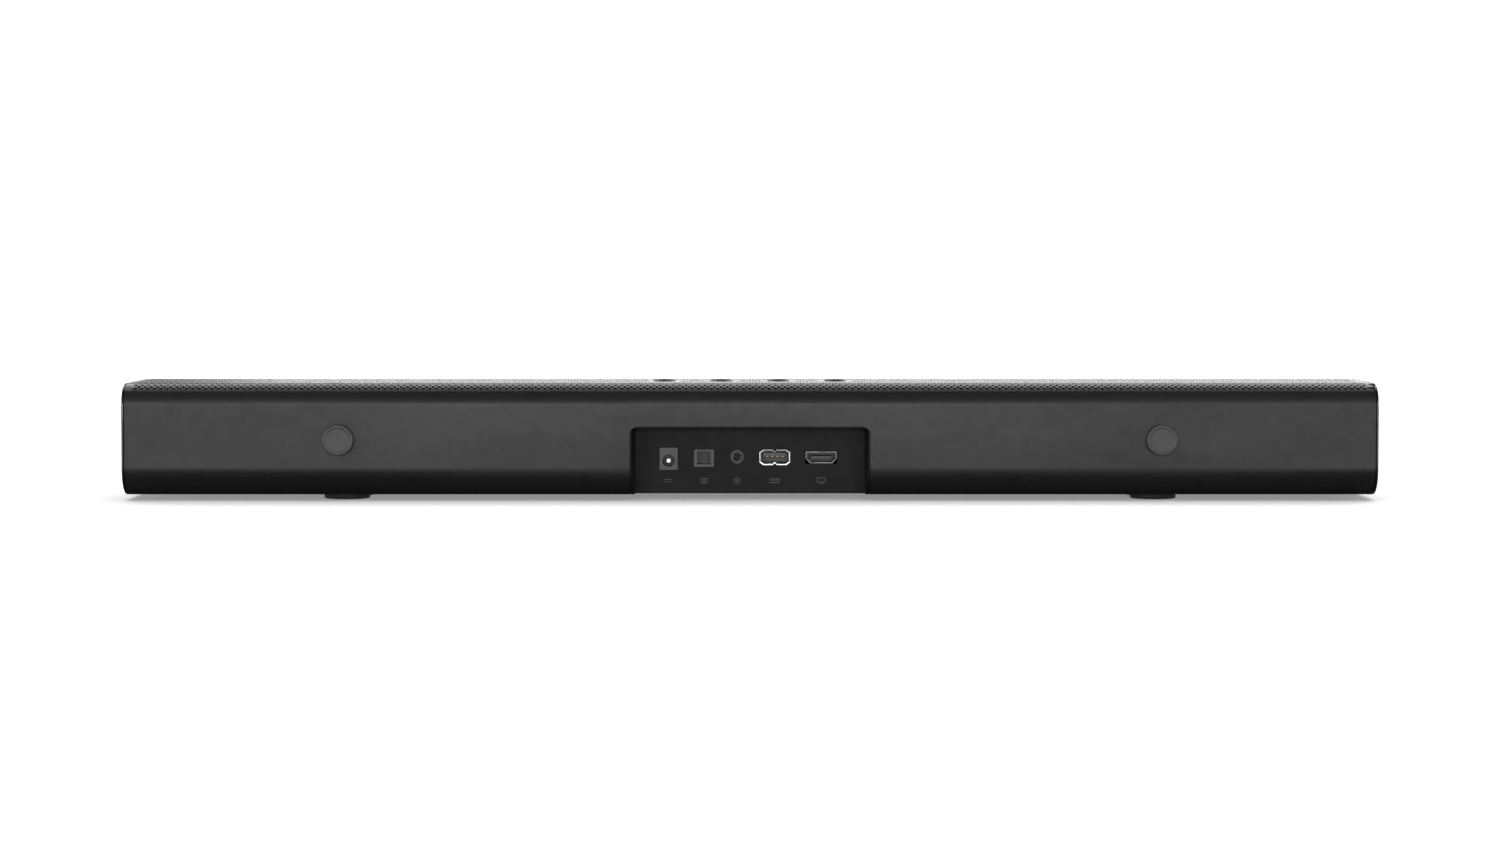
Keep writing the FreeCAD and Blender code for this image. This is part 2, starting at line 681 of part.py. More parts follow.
def make_front_chassis():
    """Baffle and deck with a lip behind the cover, driver rings, screw columns and posts."""
    walls = cut("chassis_walls", housing_layer("chassis_tube", CHASSIS_IN, CHASSIS_INNER, CAP_PLANE),
                cover_side("chassis_away", "seam_gap", "seam_gap"))
    lip_at_seams = common("chassis_lip", housing_layer("lip_tube", LIP_IN, LIP_INNER, CAP_PLANE), fused(
        "lip_keep",
        block("lip_keep_front",
              (f"-{CAP_PLANE}", f"{COVER_EDGE_Y} - lip_overlap", FLOOR),
              (CAP_PLANE, f"{COVER_EDGE_Y} + lip_overlap", f"{FLOOR} + front_bottom_round")),
        block("lip_keep_rear",
              (f"-{CAP_PLANE}", f"{REAR} - rear_top_round", f"{COVER_EDGE_Z} - lip_overlap"),
              (CAP_PLANE, REAR, TOP)),
    ))
    added, taken = [walls, lip_at_seams], button_holes("chassis")
    root = "chassis_wall / 8"
    root_face = f"{BAFFLE_BACK} - {root}"
    deck_middle = f"({DECK_UNDER} + chassis_wall / 2)"
    for side, _, x in driver_places():
        ring = "baffle_hole + baffle_ring_wall"
        added.append(rod(f"baffle_ring_{side}", (x, root_face, MID), f"{root} + baffle_ring", ring, "y"))
        hole_start = (x, f"{FRONT} - {PAST}", MID)
        taken.append(rod(f"baffle_hole_{side}", hole_start, f"cover_front + {PAST}", "baffle_hole", "y"))
        for i, (sx, sz) in enumerate(driver_screw_places(x)):
            reach = "baffle_ring + gasket_sheet"
            added.append(rod(f"driver_boss_{side}_{i}", (sx, root_face, sz), f"{root} + {reach}",
                             "post_radius", "y"))
            hole = (sx, f"{DRIVER_FACE} - small_reach - screw_clear", sz)
            taken.append(rod(f"driver_boss_hole_{side}_{i}", hole, f"small_reach + {PAST}",
                             "small_shank + screw_clear", "y"))
    for name, x, y in foot_places():
        height = f"{deck_middle} - {BOSS_TOP}"
        added.append(rod(f"column_{name}", (x, y, BOSS_TOP), height, "column_radius"))
        taken.append(rod(f"column_hole_{name}", (x, y, f"{BOSS_TOP} - {PAST}"),
                         f"shank_length + {PAST}", "shank_radius + screw_clear"))
    for sign in SIDES.values():
        x = f"{sign} * keyboard_post_x"
        added.append(rod(f"keyboard_post_{sign}", (x, BUTTON_Y, KEYBOARD_TOP),
                         f"{deck_middle} - {KEYBOARD_TOP}", "post_radius"))
        taken.append(rod(f"keyboard_post_hole_{sign}", (x, BUTTON_Y, f"{KEYBOARD_TOP} - {PAST}"),
                         f"small_reach + screw_clear + {PAST}", "small_shank + screw_clear"))
        post_x = f"{sign} * (indicator_width / 2 - post_radius)"
        added.append(rod(f"indicator_post_{sign}", (post_x, root_face, MID),
                         f"{root} + indicator_post", "post_radius", "y"))
    taken.append(rod("pipe_hole", ("0", f"{FRONT} - {PAST}", MID), f"{CHASSIS_INNER} + {2 * PAST}",
                     "pipe_radius + pipe_clear", "y"))
    node(cut("front_chassis", fused("chassis_solid", *added), *taken))


def make_end_caps():
    """Glossy end plates with a rounded outer edge and a spigot inside the chassis lip."""
    for side, sign in SIDES.items():
        ends = (CAP_PLANE, "bar_width / 2") if sign > 0 else ("-bar_width / 2", f"-{CAP_PLANE}")
        plate = bar(f"cap_plate_{side}", "0", *ends)
        doc.recompute()
        extent = plate.Tip.Shape.BoundBox
        soften(plate, in_plane("X", extent.XMax if sign > 0 else extent.XMin), "cap_round")
        inner, root = f"{CAP_PLANE} - spigot_reach", f"{CAP_PLANE} + cap_rim / 4"
        reach = (inner, root) if sign > 0 else (f"-({root})", f"-({inner})")
        through = [f"{reach[0]} - {PAST}", reach[1]] if sign > 0 else [reach[0], f"{reach[1]} + {PAST}"]
        spigot = cut(f"cap_spigot_{side}", bar(f"spigot_outside_{side}", SPIGOT_IN, *reach),
                     bar(f"spigot_inside_{side}", f"({SPIGOT_IN} + spigot_wall)", *through))
        node(fused(f"end_cap_{side}", plate, spigot))


# ---- feet and housing screws

def make_feet():
    """Rubber feet, and the housing screws that they hide."""
    screws = []
    for name, x, y in foot_places():
        foot = turned(f"foot_{name}", "z", [
            ("0", "0"),
            ("foot_radius", "0"),
            ("foot_radius", "feet_height"),
            ("foot_pin_radius", "feet_height"),
            ("foot_pin_radius", "feet_height + foot_pin_rise"),
            ("0", "feet_height + foot_pin_rise"),
        ], (x, y, "0"))
        soften(foot, in_plane("Z", 0), "foot_round")
        node(foot)
        seat = (x, y, f"{FLOOR} + seat_depth")
        screws.append(screw(f"housing_screw_{name}", seat, "head_radius", "head_height", "shank_radius",
                            "shank_length"))
    node(group("housing_screws", screws))


# ---- buttons and their board

def make_buttons():
    """Push buttons, each on the plunger of its switch, and the board under them."""
    switches = []
    for name, x in button_places():
        collar = "button_radius + button_collar"
        collar_top = f"{DECK_UNDER} - button_stop"
        node(turned(f"button_{name}", "z", [
            ("0", f"{TOP} + button_proud"),
            ("button_face", f"{TOP} + button_proud"),
            ("button_radius", f"{TOP} + button_proud - button_bevel"),
            ("button_radius", collar_top),
            (collar, collar_top),
            (collar, f"{collar_top} - button_collar"),
            ("button_stem", f"{collar_top} - button_collar"),
            ("button_stem", STEM_FOOT),
            ("0", STEM_FOOT),
        ], (x, BUTTON_Y, "0")))
        node(turned(f"switch_plunger_{name}", "z", [
            ("0", STEM_FOOT),
            ("plunger_radius", STEM_FOOT),
            ("plunger_radius", f"{STEM_FOOT} - plunger_length"),
            ("0", f"{STEM_FOOT} - plunger_length"),
        ], (x, BUTTON_Y, "0")))
        housing = block(
            f"switch_case_{name}",
            (f"{x} - switch_width / 2", f"{BUTTON_Y} - switch_width / 2", KEYBOARD_TOP),
            (f"{x} + switch_width / 2", f"{BUTTON_Y} + switch_width / 2", SWITCH_TOP),
        )
        well = rod(f"switch_well_{name}", (x, BUTTON_Y, f"{SWITCH_TOP} - switch_bore"),
                   f"switch_bore + {PAST}", "plunger_radius + plunger_clear")
        switches.append(cut(f"switch_{name}", housing, well))
    node(group("button_switches", switches))
    board = block(
        "keyboard_blank",
        ("-keyboard_width / 2", f"{BUTTON_Y} - keyboard_depth / 2", f"{KEYBOARD_TOP} - board_sheet"),
        ("keyboard_width / 2", f"{BUTTON_Y} + keyboard_depth / 2", KEYBOARD_TOP),
    )
    low = f"{KEYBOARD_TOP} - board_sheet - {PAST}"
    holes = [
        rod(f"keyboard_hole_{sign}", (f"{sign} * keyboard_post_x", BUTTON_Y, low),
            f"board_sheet + {2 * PAST}", "small_shank + screw_clear")
        for sign in SIDES.values()
    ]
    node(cut("button_board", board, *holes))


# ---- main board and what is on it

def make_boards():
    """Main board on its posts, indicator board behind the baffle, and the screws of the boards."""
    blank = block("board_blank", ("-board_width / 2", BOARD_FRONT, f"{BOARD_TOP} - board_sheet"),
                  ("board_width / 2", BOARD_REAR, BOARD_TOP))
    under = f"{BOARD_TOP} - board_sheet"
    holes = [
        rod(f"board_hole_{i}", (x, y, f"{under} - {PAST}"), f"board_sheet + {2 * PAST}",
            "small_shank + screw_clear")
        for i, (x, y) in enumerate(board_post_places())
    ]
    notch_half, notch_end = "(dc_width / 2 + window_clear)", f"{PANEL_FACE} - socket_length - window_clear"
    notch = block("dc_notch", (f"dc_x - {notch_half}", notch_end, f"{under} - {PAST}"),
                  (f"dc_x + {notch_half}", f"{BOARD_REAR} + {PAST}", f"{BOARD_TOP} + {PAST}"))
    node(cut("main_board", blank, notch, *holes))
    screws = [
        small_screw(f"board_screw_{i}", (x, y, BOARD_TOP), "board_sheet", way=-1)
        for i, (x, y) in enumerate(board_post_places())
    ]
    keyboard_under = f"{KEYBOARD_TOP} - board_sheet"
    screws += [
        small_screw(f"keyboard_screw_{sign}", (f"{sign} * keyboard_post_x", BUTTON_Y, keyboard_under),
                    "board_sheet - screw_clear")
        for sign in SIDES.values()
    ]
    node(group("board_screws", screws))
    indicator_face = f"({BAFFLE_BACK} + indicator_post)"
    node(block("indicator_board", ("-indicator_width / 2", indicator_face, f"{MID} - indicator_height / 2"),
               ("indicator_width / 2", f"{indicator_face} + board_sheet", f"{MID} + indicator_height / 2")))
    pipe_start = f"({FRONT} + {CHASSIS_IN})"
    node(rod("light_pipe", ("0", pipe_start, MID), f"{indicator_face} - {pipe_start}", "pipe_radius", "y"))


def on_board(name, x, y, width, depth, height, lift="0"):
    """Rectangular component that stands on the main board at its middle x and y."""
    base = f"{BOARD_TOP} + {lift}"
    return block(name, (f"{x} - {width} / 2", f"{y} - {depth} / 2", base),
                 (f"{x} + {width} / 2", f"{y} + {depth} / 2", f"{base} + {height}"))


def make_components():
    """Amplifier and its heatsink, processor, capacitors and wireless module."""
    row_y = f"({BOARD_FRONT} + sink_depth / 2 + 1)"
    base = on_board("sink_foot", "(-sink_x)", row_y, "sink_width", "sink_depth", "sink_base", "chip_height")
    step = "((sink_width - sink_fin) / (sink_fins - 1))"
    fins = [
        on_board(f"sink_fin_{i}", f"(({i} - (sink_fins - 1) / 2) * {step} - sink_x)", row_y, "sink_fin",
                 "sink_depth", "sink_height", "chip_height")
        for i in range(int(sheet.sink_fins))
    ]
    node(fused("amp_heatsink", base, *fins))
    node(group("main_chips", [
        on_board("amplifier_chip", "(-sink_x)", row_y, "chip_width", "chip_width", "chip_height"),
        on_board("processor_chip", "sink_x", row_y, "chip_width", "chip_width", "chip_height"),
    ]))
    post_side = "(post_x - small_head)"
    last_can = f"{post_side} - can_gap - can_radius"
    cans = [
        rod(f"can_{i}", (f"{last_can} - {i} * can_pitch", row_y, BOARD_TOP), "can_height", "can_radius")
        for i in range(3)
    ]
    node(group("capacitors", cans))
    module_x = f"(-({post_side} - module_gap - module_width / 2))"
    node(on_board("wireless_module", module_x, row_y, "module_width", "module_depth", "module_height"))


# ---- sockets

def jack(name, socket, width, height, under):
    """Plastic jack: a nose in its panel window and a body behind it, down to the given level."""
    x, z = f"{socket}_x", f"({FLOOR} + {socket}_rise)"
    step = f"({BOARD_REAR} + board_gap / 2)"
    nose = block(f"{name}_nose", (f"{x} - {width} / 2", step, f"{z} - {height} / 2"),
                 (f"{x} + {width} / 2", f"{PANEL_FACE} - nose_recess", f"{z} + {height} / 2"))
    rest = block(f"{name}_rest", (f"{x} - {width} / 2", f"{PANEL_FACE} - socket_length", under),
                 (f"{x} + {width} / 2", step, f"{z} + {height} / 2"))
    return fused(f"{name}_solid", nose, rest)


def make_dc_jack():
    """Barrel power jack let into a notch of the board, and its centre pin."""
    z = f"({FLOOR} + dc_rise - dc_drop)"
    solid = jack("dc_jack", "dc", "dc_width", "dc_height", f"{FLOOR} + dc_rise - dc_height / 2")
    mouth = f"({PANEL_FACE} - nose_recess)"
    well = rod("dc_well", ("dc_x", f"{mouth} - dc_pocket", z), f"dc_pocket + {PAST}", "dc_bore", "y")
    node(cut("dc_jack", solid, well))
    node(rod("dc_jack_pin", ("dc_x", f"{mouth} - dc_pocket", z), "dc_pocket - pin_set_back", "dc_pin", "y"))


def make_optical_jack():
    """Optical jack with an open square cavity and a lens at its end."""
    z = f"({FLOOR} + optic_rise)"
    mouth = f"({PANEL_FACE} - nose_recess)"
    middle = f"{z} + cavity_lift"
    cavity = block(
        "optic_cavity_space",
        ("optic_x - optic_cavity / 2", f"{mouth} - optic_pocket", f"{middle} - optic_cavity_height / 2"),
        ("optic_x + optic_cavity / 2", f"{mouth} + {PAST}", f"{middle} + optic_cavity_height / 2"),
    )
    lens_start = ("optic_x", f"{mouth} - optic_pocket - lens_seat", z)
    seat = rod("optic_lens_seat", lens_start, f"lens_seat + {PAST}", "optic_lens", "y")
    solid = jack("optical_jack", "optic", "optic_width", "optic_height", BOARD_TOP)
    node(cut("optical_jack", solid, cavity, seat))
    node(rod("optical_lens", lens_start, "lens_length", "optic_lens", "y"))


def make_audio_jack():
    """Audio jack: a round collar in the panel on a square body, bored right along."""
    z = f"({FLOOR} + audio_rise)"
    step = f"({BOARD_REAR} + board_gap / 2)"
    mouth = f"({PANEL_FACE} - nose_recess / 3)"
    rest = block("audio_rest", ("audio_x - audio_body / 2", f"{PANEL_FACE} - audio_depth - 1", BOARD_TOP),
                 ("audio_x + audio_body / 2", step, f"{z} + audio_body / 2"))
    collar = rod("audio_collar_rod", ("audio_x", f"{step} - {PAST}", z), f"{mouth} - {step} + {PAST}",
                 "audio_collar", "y")
    flare = "(audio_mouth - audio_bore)"
    bore = turned("audio_bore_space", "y", [
        ("0", f"{PAST}"),
        (f"audio_mouth + {PAST}", f"{PAST}"),
        ("audio_bore", f"-{flare}"),
        ("audio_bore", "-audio_depth"),
        ("0", "-audio_depth"),
    ], ("audio_x", mouth, z))
    node(cut("audio_jack", fused("audio_solid", rest, collar), bore))


def centred_block(name, socket, half_x, low_z, high_z, low_y, high_y):
    """Block about a socket's axis: half width, heights from the axis, and places along Y."""
    z = f"({FLOOR} + {socket}_rise)"
    return block(name, (f"{socket}_x - {half_x}", low_y, f"{z} + {low_z}"),
                 (f"{socket}_x + {half_x}", high_y, f"{z} + {high_z}"))


def make_data_socket():
    """Rectangular steel shell with a flared lip, a plastic tongue and four contacts under it."""
    back, heel = f"({PANEL_FACE} - socket_length)", f"({PANEL_FACE} - socket_length + socket_heel)"
    lip = f"({PANEL_FACE} + data_lip_sheet)"
    half_x, half_z = "(data_width / 2)", "(data_height / 2)"
    tube = centred_block("data_tube", "data", f"({half_x} + data_wall)", f"(-{half_z} - data_wall)",
                         f"({half_z} + data_wall)", back, lip)
    flange = new_body("data_flange")
    z = f"({FLOOR} + data_rise)"
    wide, tall = f"({half_x} + data_lip)", f"({half_z} + data_lip)"
    corners = []
    for sx, sz in ((-1, -1), (1, -1), (1, 1), (-1, 1)):
        on_flat = (f"data_x + {sx} * {half_x}", f"{z} + {sz} * {tall}")
        on_side = (f"data_x + {sx} * {wide}", f"{z} + {sz} * {half_z}")
        corners += [on_side, on_flat] if sx == sz else [on_flat, on_side]
    pad(flange, sketch(flange, "XZ_Plane", [corners], f"-{lip}"), "data_lip_sheet")
    hollow = centred_block("data_hollow", "data", half_x, f"-{half_z}", half_z, heel, f"{lip} + {PAST}")
    heel_space = centred_block("data_heel_space", "data", half_x, f"-{half_z}", half_z,
                               f"{back} - {PAST}", heel)
    node(cut("data_socket_shell", fused("data_shell_solid", tube, flange), hollow, heel_space))
    heel_block = centred_block("data_heel", "data", half_x, f"-{half_z}", half_z, back, heel)
    tongue_top = f"({half_z} - tongue_gap)"
    tongue_under = f"({tongue_top} - data_tongue_sheet)"
    tongue = centred_block("data_tongue_plate", "data", "data_tongue_width / 2", tongue_under, tongue_top,
                           back, f"{PANEL_FACE} - tongue_set_back")
    node(fused("data_socket_tongue", heel_block, tongue))
    level, half = f"{z} + {tongue_under}", "data_contact_width / 2"
    contacts = []
    for i in range(4):
        x = f"(data_x + {i - 1.5} * data_contact_pitch)"
        contacts.append(block(f"data_contact_{i}", (f"{x} - {half}", heel, f"{level} - data_contact_sheet"),
                              (f"{x} + {half}", f"{PANEL_FACE} - contact_set_back", level)))
    node(group("data_socket_contacts", contacts))


def video_outline(grow):
    """Outline of the video socket: flat roof, upright sides and a narrower lower edge."""
    z = f"({FLOOR} + video_rise)"
    half, foot = f"(video_width / 2 + {grow})", f"(video_foot / 2 + {grow} / 2)"
    roof, base = f"{z} + video_height / 2 + {grow}", f"{z} - video_height / 2 - {grow}"
    knee = f"{z} - video_height / 10"
    return [
        (f"video_x - {foot}", base), (f"video_x + {foot}", base),
        (f"video_x + {half}", knee), (f"video_x + {half}", roof),
        (f"video_x - {half}", roof), (f"video_x - {half}", knee),
    ]


def make_video_socket():
    """D-shaped shell and the tongue in it."""
    back, heel = f"({PANEL_FACE} - socket_length)", f"({PANEL_FACE} - socket_length + socket_heel)"
    mouth = f"({PANEL_FACE} - nose_recess / 3)"
    shell = new_body("video_shell")
    pad(shell, sketch(shell, "XZ_Plane", [video_outline("video_wall")], f"-{mouth}"), f"{mouth} - {back}")
    inside = new_body("video_inside")
    pad(inside, sketch(inside, "XZ_Plane", [video_outline("0")], f"-({mouth} + {PAST})"),
        f"{mouth} - {back} + {2 * PAST}")
    node(cut("video_socket_shell", shell, inside))
    heel_body = new_body("video_heel")
    pad(heel_body, sketch(heel_body, "XZ_Plane", [video_outline("0")], f"-{heel}"), f"{heel} - {back}")
    half_sheet = "(video_tongue_sheet / 2)"
    tongue = centred_block("video_tongue_plate", "video", "video_tongue_width / 2", f"(-{half_sheet})",
                           half_sheet, back, f"{PANEL_FACE} - tongue_set_back")
    node(fused("video_socket_tongue", heel_body, tongue))


# ---- drivers

def make_driver(side, x):
    """Cone, surround, spider and voice coil of one driver; returns its frame, magnet, yoke, gasket and screws."""
    at = (x, DRIVER_FACE, MID)
    half = "driver_flange / 2"
    plate_back = "(basket_depth + driver_sheet + plate_sheet)"
    magnet_back = f"({plate_back} + magnet_height)"
    flange = block(f"flange_{side}", (f"{x} - {half}", DRIVER_FACE, f"{MID} - {half}"),
                   (f"{x} + {half}", f"{DRIVER_FACE} + driver_sheet", f"{MID} + {half}"))
    basket = turned(f"basket_{side}", "y", [
        ("driver_hole", "driver_sheet / 2"),
        ("driver_hole + driver_sheet", "driver_sheet / 2"),
        ("basket_back", "basket_depth"),
        ("basket_back", plate_back),
        ("gap_outer", plate_back),
        ("gap_outer", "basket_depth"),
        ("basket_back - driver_sheet", "basket_depth"),
    ], at)
    open_from, open_to = f"{DRIVER_FACE} + 3 * driver_sheet", f"{DRIVER_FACE} + basket_depth - driver_sheet"
    wide, slot = "driver_flange", "basket_window / 2"
    window_x = block(f"basket_window_x_{side}", (f"{x} - {wide}", open_from, f"{MID} - {slot}"),
                     (f"{x} + {wide}", open_to, f"{MID} + {slot}"))
    window_z = block(f"basket_window_z_{side}", (f"{x} - {slot}", open_from, f"{MID} - {wide}"),
                     (f"{x} + {slot}", open_to, f"{MID} + {wide}"))
    opening = rod(f"flange_hole_{side}", (x, f"{DRIVER_FACE} - {PAST}", MID), f"driver_sheet + {PAST}",
                  "driver_hole", "y")
    flange_holes = [
        rod(f"flange_screw_hole_{side}_{i}", (sx, f"{DRIVER_FACE} - {PAST}", sz),
            f"driver_sheet + {2 * PAST}", "small_shank + screw_clear", "y")
        for i, (sx, sz) in enumerate(driver_screw_places(x))
    ]
    solid = fused(f"frame_solid_{side}", flange, basket)
    frame = cut(f"driver_frame_{side}", solid, opening, window_x, window_z, *flange_holes)
    magnet = turned(f"magnet_{side}", "y", [
        ("magnet_bore", plate_back), ("magnet_radius", plate_back),
        ("magnet_radius", magnet_back), ("magnet_bore", magnet_back),
    ], at)
    yoke = turned(f"yoke_{side}", "y", [
        ("0", "basket_depth + driver_sheet"), ("pole_radius", "basket_depth + driver_sheet"),
        ("pole_radius", magnet_back), ("yoke_radius", magnet_back),
        ("yoke_radius", f"{magnet_back} + plate_sheet"), ("0", f"{magnet_back} + plate_sheet"),
    ], at)
    neck = "(coil_outer + cone_sheet / 2)"
    node(turned(f"cone_{side}", "y", [
        ("0", "cone_depth - cap_dome"),
        ("coil_inner / 2", "cone_depth - cap_dome * 0.8"),
        ("coil_inner", "cone_depth - cap_dome / 4"),
        ("coil_inner", "cone_depth"),
        (neck, "cone_depth"),
        ("cone_edge - 1", "cone_sheet"),
        ("cone_edge", "cone_sheet"),
        ("cone_edge", "0"),
        ("cone_edge - 1 - cone_sheet / 2", "0"),
        ("coil_inner + cone_sheet / 4", "cone_depth - 1.2"),
        ("coil_inner / 2", "cone_depth - cap_dome * 0.8 - cone_sheet"),
        ("0", "cone_depth - cap_dome - cone_sheet"),
    ], at))
    node(turned(f"voice_coil_{side}", "y", [
        ("coil_inner", "cone_depth"), ("coil_outer", "cone_depth"),
        ("coil_outer", "coil_reach"), ("coil_inner", "coil_reach"),
    ], at))
    node(turned(f"spider_{side}", "y", [
        ("coil_outer + 0.05", "spider_depth"), ("spider_outer", "spider_depth"),
        ("spider_outer", "spider_depth + spider_sheet"), ("coil_outer + 0.05", "spider_depth + spider_sheet"),
    ], at))
    node(make_surround(side, x, at))
    gasket = turned(f"gasket_{side}", "y", [
        ("baffle_hole", "-gasket_sheet"), ("gasket_outer", "-gasket_sheet"),
        ("gasket_outer", "0"), ("baffle_hole", "0"),
    ], at)
    seat, grip = f"{DRIVER_FACE} + driver_sheet", "driver_sheet - screw_clear"
    screws = [
        small_screw(f"driver_screw_{side}_{i}", (sx, seat, sz), grip, "y", -1)
        for i, (sx, sz) in enumerate(driver_screw_places(x))
    ]
    return {"frames": [frame], "magnets": [magnet], "yokes": [yoke], "gaskets": [gasket], "screws": screws}


def make_surround(side, x, at):
    """Half-roll surround with a lip on the cone and a lip on the frame."""
    middle = "(cone_edge - 0.2 + roll_radius)"
    rolls = []
    for name, radius in (("roll_outside", "roll_radius"), ("roll_inside", "roll_radius - roll_sheet")):
        ring = doc.addObject("Part::Torus", f"{name}_{side}")
        bind(ring, "Radius1", middle)
        bind(ring, "Radius2", radius)
        place(ring, at, "y")
        rolls.append(ring)
    reach = "2 * surround_outer"
    ahead = block(f"roll_front_{side}", (f"{x} - {reach}", f"{DRIVER_FACE} - {reach}", f"{MID} - {reach}"),
                  (f"{x} + {reach}", DRIVER_FACE, f"{MID} + {reach}"))
    roll = common(f"roll_{side}", cut(f"roll_tube_{side}", *rolls), ahead)
    lips = [
        turned(f"surround_{name}_{side}", "y", [(inner, "-roll_sheet"), (outer, "-roll_sheet"),
                                                 (outer, "0"), (inner, "0")], at)
        for name, inner, outer in (
            ("outer_lip", f"{middle} + roll_radius - roll_sheet / 2", "surround_outer"),
            ("inner_lip", "cone_edge - 1", f"{middle} - roll_radius + roll_sheet / 2"),
        )
    ]
    return fused(f"surround_{side}", roll, *lips)


def lead_path(points):
    """Wire of straight runs joined by tangent arcs, each as large as its two runs allow."""
    edges, here = [], points[0]
    for before, corner, after in zip(points, points[1:], points[2:]):
        into, out = corner - before, after - corner
        share = 0.45 * min(into.Length, out.Length)
        into.normalize()
        out.normalize()
        start, end = corner - into * share, corner + out * share
        half = into.getAngle(out) / 2
        inward = (out - into).normalize()
        radius = share / math.tan(half)
        middle = corner + inward * (radius / math.cos(half) - radius)
        edges += [Part.LineSegment(here, start).toShape(), Part.Arc(start, middle, end).toShape()]
        here = end
    edges.append(Part.LineSegment(here, points[-1]).toShape())
    return Part.Wire(edges)


def make_leads():
    """Two pairs of leads from the main board, low along the bar and up to each driver's flange."""
    size = {alias: sheet.get(alias) for alias, _, _ in SIZES}
    board_top = size["feet_height"] + size["board_rise"]
    floor = size["feet_height"] + size["cover_wall"]
    front = -(size["body_depth"] + size["plug_proud"]) / 2
    wall = size["grille_sheet"] + size["cloth_sheet"] + 2 * size["layer_gap"] + size["chassis_wall"]
    flange_back = front + wall + size["baffle_ring"] + size["gasket_sheet"] + size["driver_sheet"]
    edge, driver = size["board_width"] / 2, size["driver_x"] - size["driver_flange"] / 2
    middle_y = front + size["body_depth"] / 2
    solids = []
    for sign in SIDES.values():
        for lane in range(2):
            off = lane * size["lead_pitch"]
            route = [
                (edge - 4, middle_y - 6 + off, board_top + size["lead_radius"]),
                (edge + 12, middle_y - 5 + off, board_top + 1),
                (edge + 34, middle_y - 3 + off, floor + 5),
                (edge + 68, middle_y - 1 + off, floor + 3),
                (driver - 42, middle_y - 2 + off, floor + 3.5),
                (driver - 14, middle_y - 2.5 + off, floor + 6),
                (driver - 3, middle_y - 7 + off, floor + 10),
                (driver + 1.5, middle_y - 17, floor + 14 + off),
                (driver + 2.5, flange_back + 0.5, floor + 16 + off),
            ]
            points = [FreeCAD.Vector(sign * px, py, pz) for px, py, pz in route]
            path = lead_path(points)
            ring = Part.Circle(points[0], points[1] - points[0], size["lead_radius"])
            profile = Part.Wire([ring.toShape()])
            solids.append(path.makePipeShell([profile], True, False))
    leads = doc.addObject("Part::Feature", "speaker_leads")
    leads.Shape = Part.makeCompound(solids)
    leads.Placement = FreeCAD.Placement()
    node(leads)


def make_drivers():
    """Both drivers, with the pieces that they have alike as groups, and their leads."""
    alike = {}
    for side, _, x in driver_places():
        for name, pieces in make_driver(side, x).items():
            alike.setdefault(name, []).extend(pieces)
    for name, pieces in alike.items():
        node(group(f"driver_{name}", pieces))
    make_leads()


# ---- checks and export

def check_document():
    """Stop on any failed feature or unsound shape."""
    doc.recompute()
    for thing in doc.Objects:
        if {"Invalid", "Error"} & set(thing.State):
            raise RuntimeError(f"{thing.Label} did not build: {thing.State}")
    for thing in nodes:
        if thing.Shape.isNull() or not thing.Shape.isValid() or not thing.Shape.Solids:
            raise RuntimeError(f"{thing.Label} is not a sound solid")


def export_nodes():
    """One STEP file for each piece, named after it."""
    os.makedirs("parts", exist_ok=True)
    for thing in nodes:
        thing.Shape.exportStep(f"parts/{thing.Label}.step")
    print(len(nodes), "pieces")


make_rear_cover()
make_port_panel()
make_wall_mounts()
make_grille_and_cloth()
make_front_chassis()
make_end_caps()
make_feet()
make_buttons()
make_boards()
make_components()
make_dc_jack()
make_optical_jack()
make_audio_jack()
make_data_socket()
make_video_socket()
make_drivers()
check_document()
export_nodes()
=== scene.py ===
"""Looks of the compact two-channel soundbar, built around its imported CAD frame.

Metres, in the frame's axes: +Z up, the front faces -Y, the rear with its cable bay faces +Y.
"""
import json
import math

import bmesh
import bpy
import numpy as np
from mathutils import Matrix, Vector
from mathutils.geometry import delaunay_2d_cdt


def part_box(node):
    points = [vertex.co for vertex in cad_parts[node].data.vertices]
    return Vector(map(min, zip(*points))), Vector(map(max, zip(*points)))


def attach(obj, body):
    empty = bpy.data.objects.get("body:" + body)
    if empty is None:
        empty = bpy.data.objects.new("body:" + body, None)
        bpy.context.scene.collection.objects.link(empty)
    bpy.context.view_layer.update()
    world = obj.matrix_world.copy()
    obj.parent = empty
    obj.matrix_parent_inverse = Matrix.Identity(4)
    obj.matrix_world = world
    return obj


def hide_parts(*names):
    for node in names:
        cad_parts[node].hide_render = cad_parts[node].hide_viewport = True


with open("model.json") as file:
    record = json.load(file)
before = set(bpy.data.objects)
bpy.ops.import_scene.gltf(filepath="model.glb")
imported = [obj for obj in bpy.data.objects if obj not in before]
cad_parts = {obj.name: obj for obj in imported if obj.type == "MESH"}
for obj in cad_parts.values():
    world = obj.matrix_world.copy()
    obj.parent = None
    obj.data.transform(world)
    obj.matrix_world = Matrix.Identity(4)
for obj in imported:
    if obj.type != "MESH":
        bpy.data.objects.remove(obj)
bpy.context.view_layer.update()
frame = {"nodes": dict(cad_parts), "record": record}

MM = 0.001
ROOT = "housing"
SIDES = {"left": -1, "right": 1}
BUTTONS = ("power", "source", "volume_down", "volume_up")

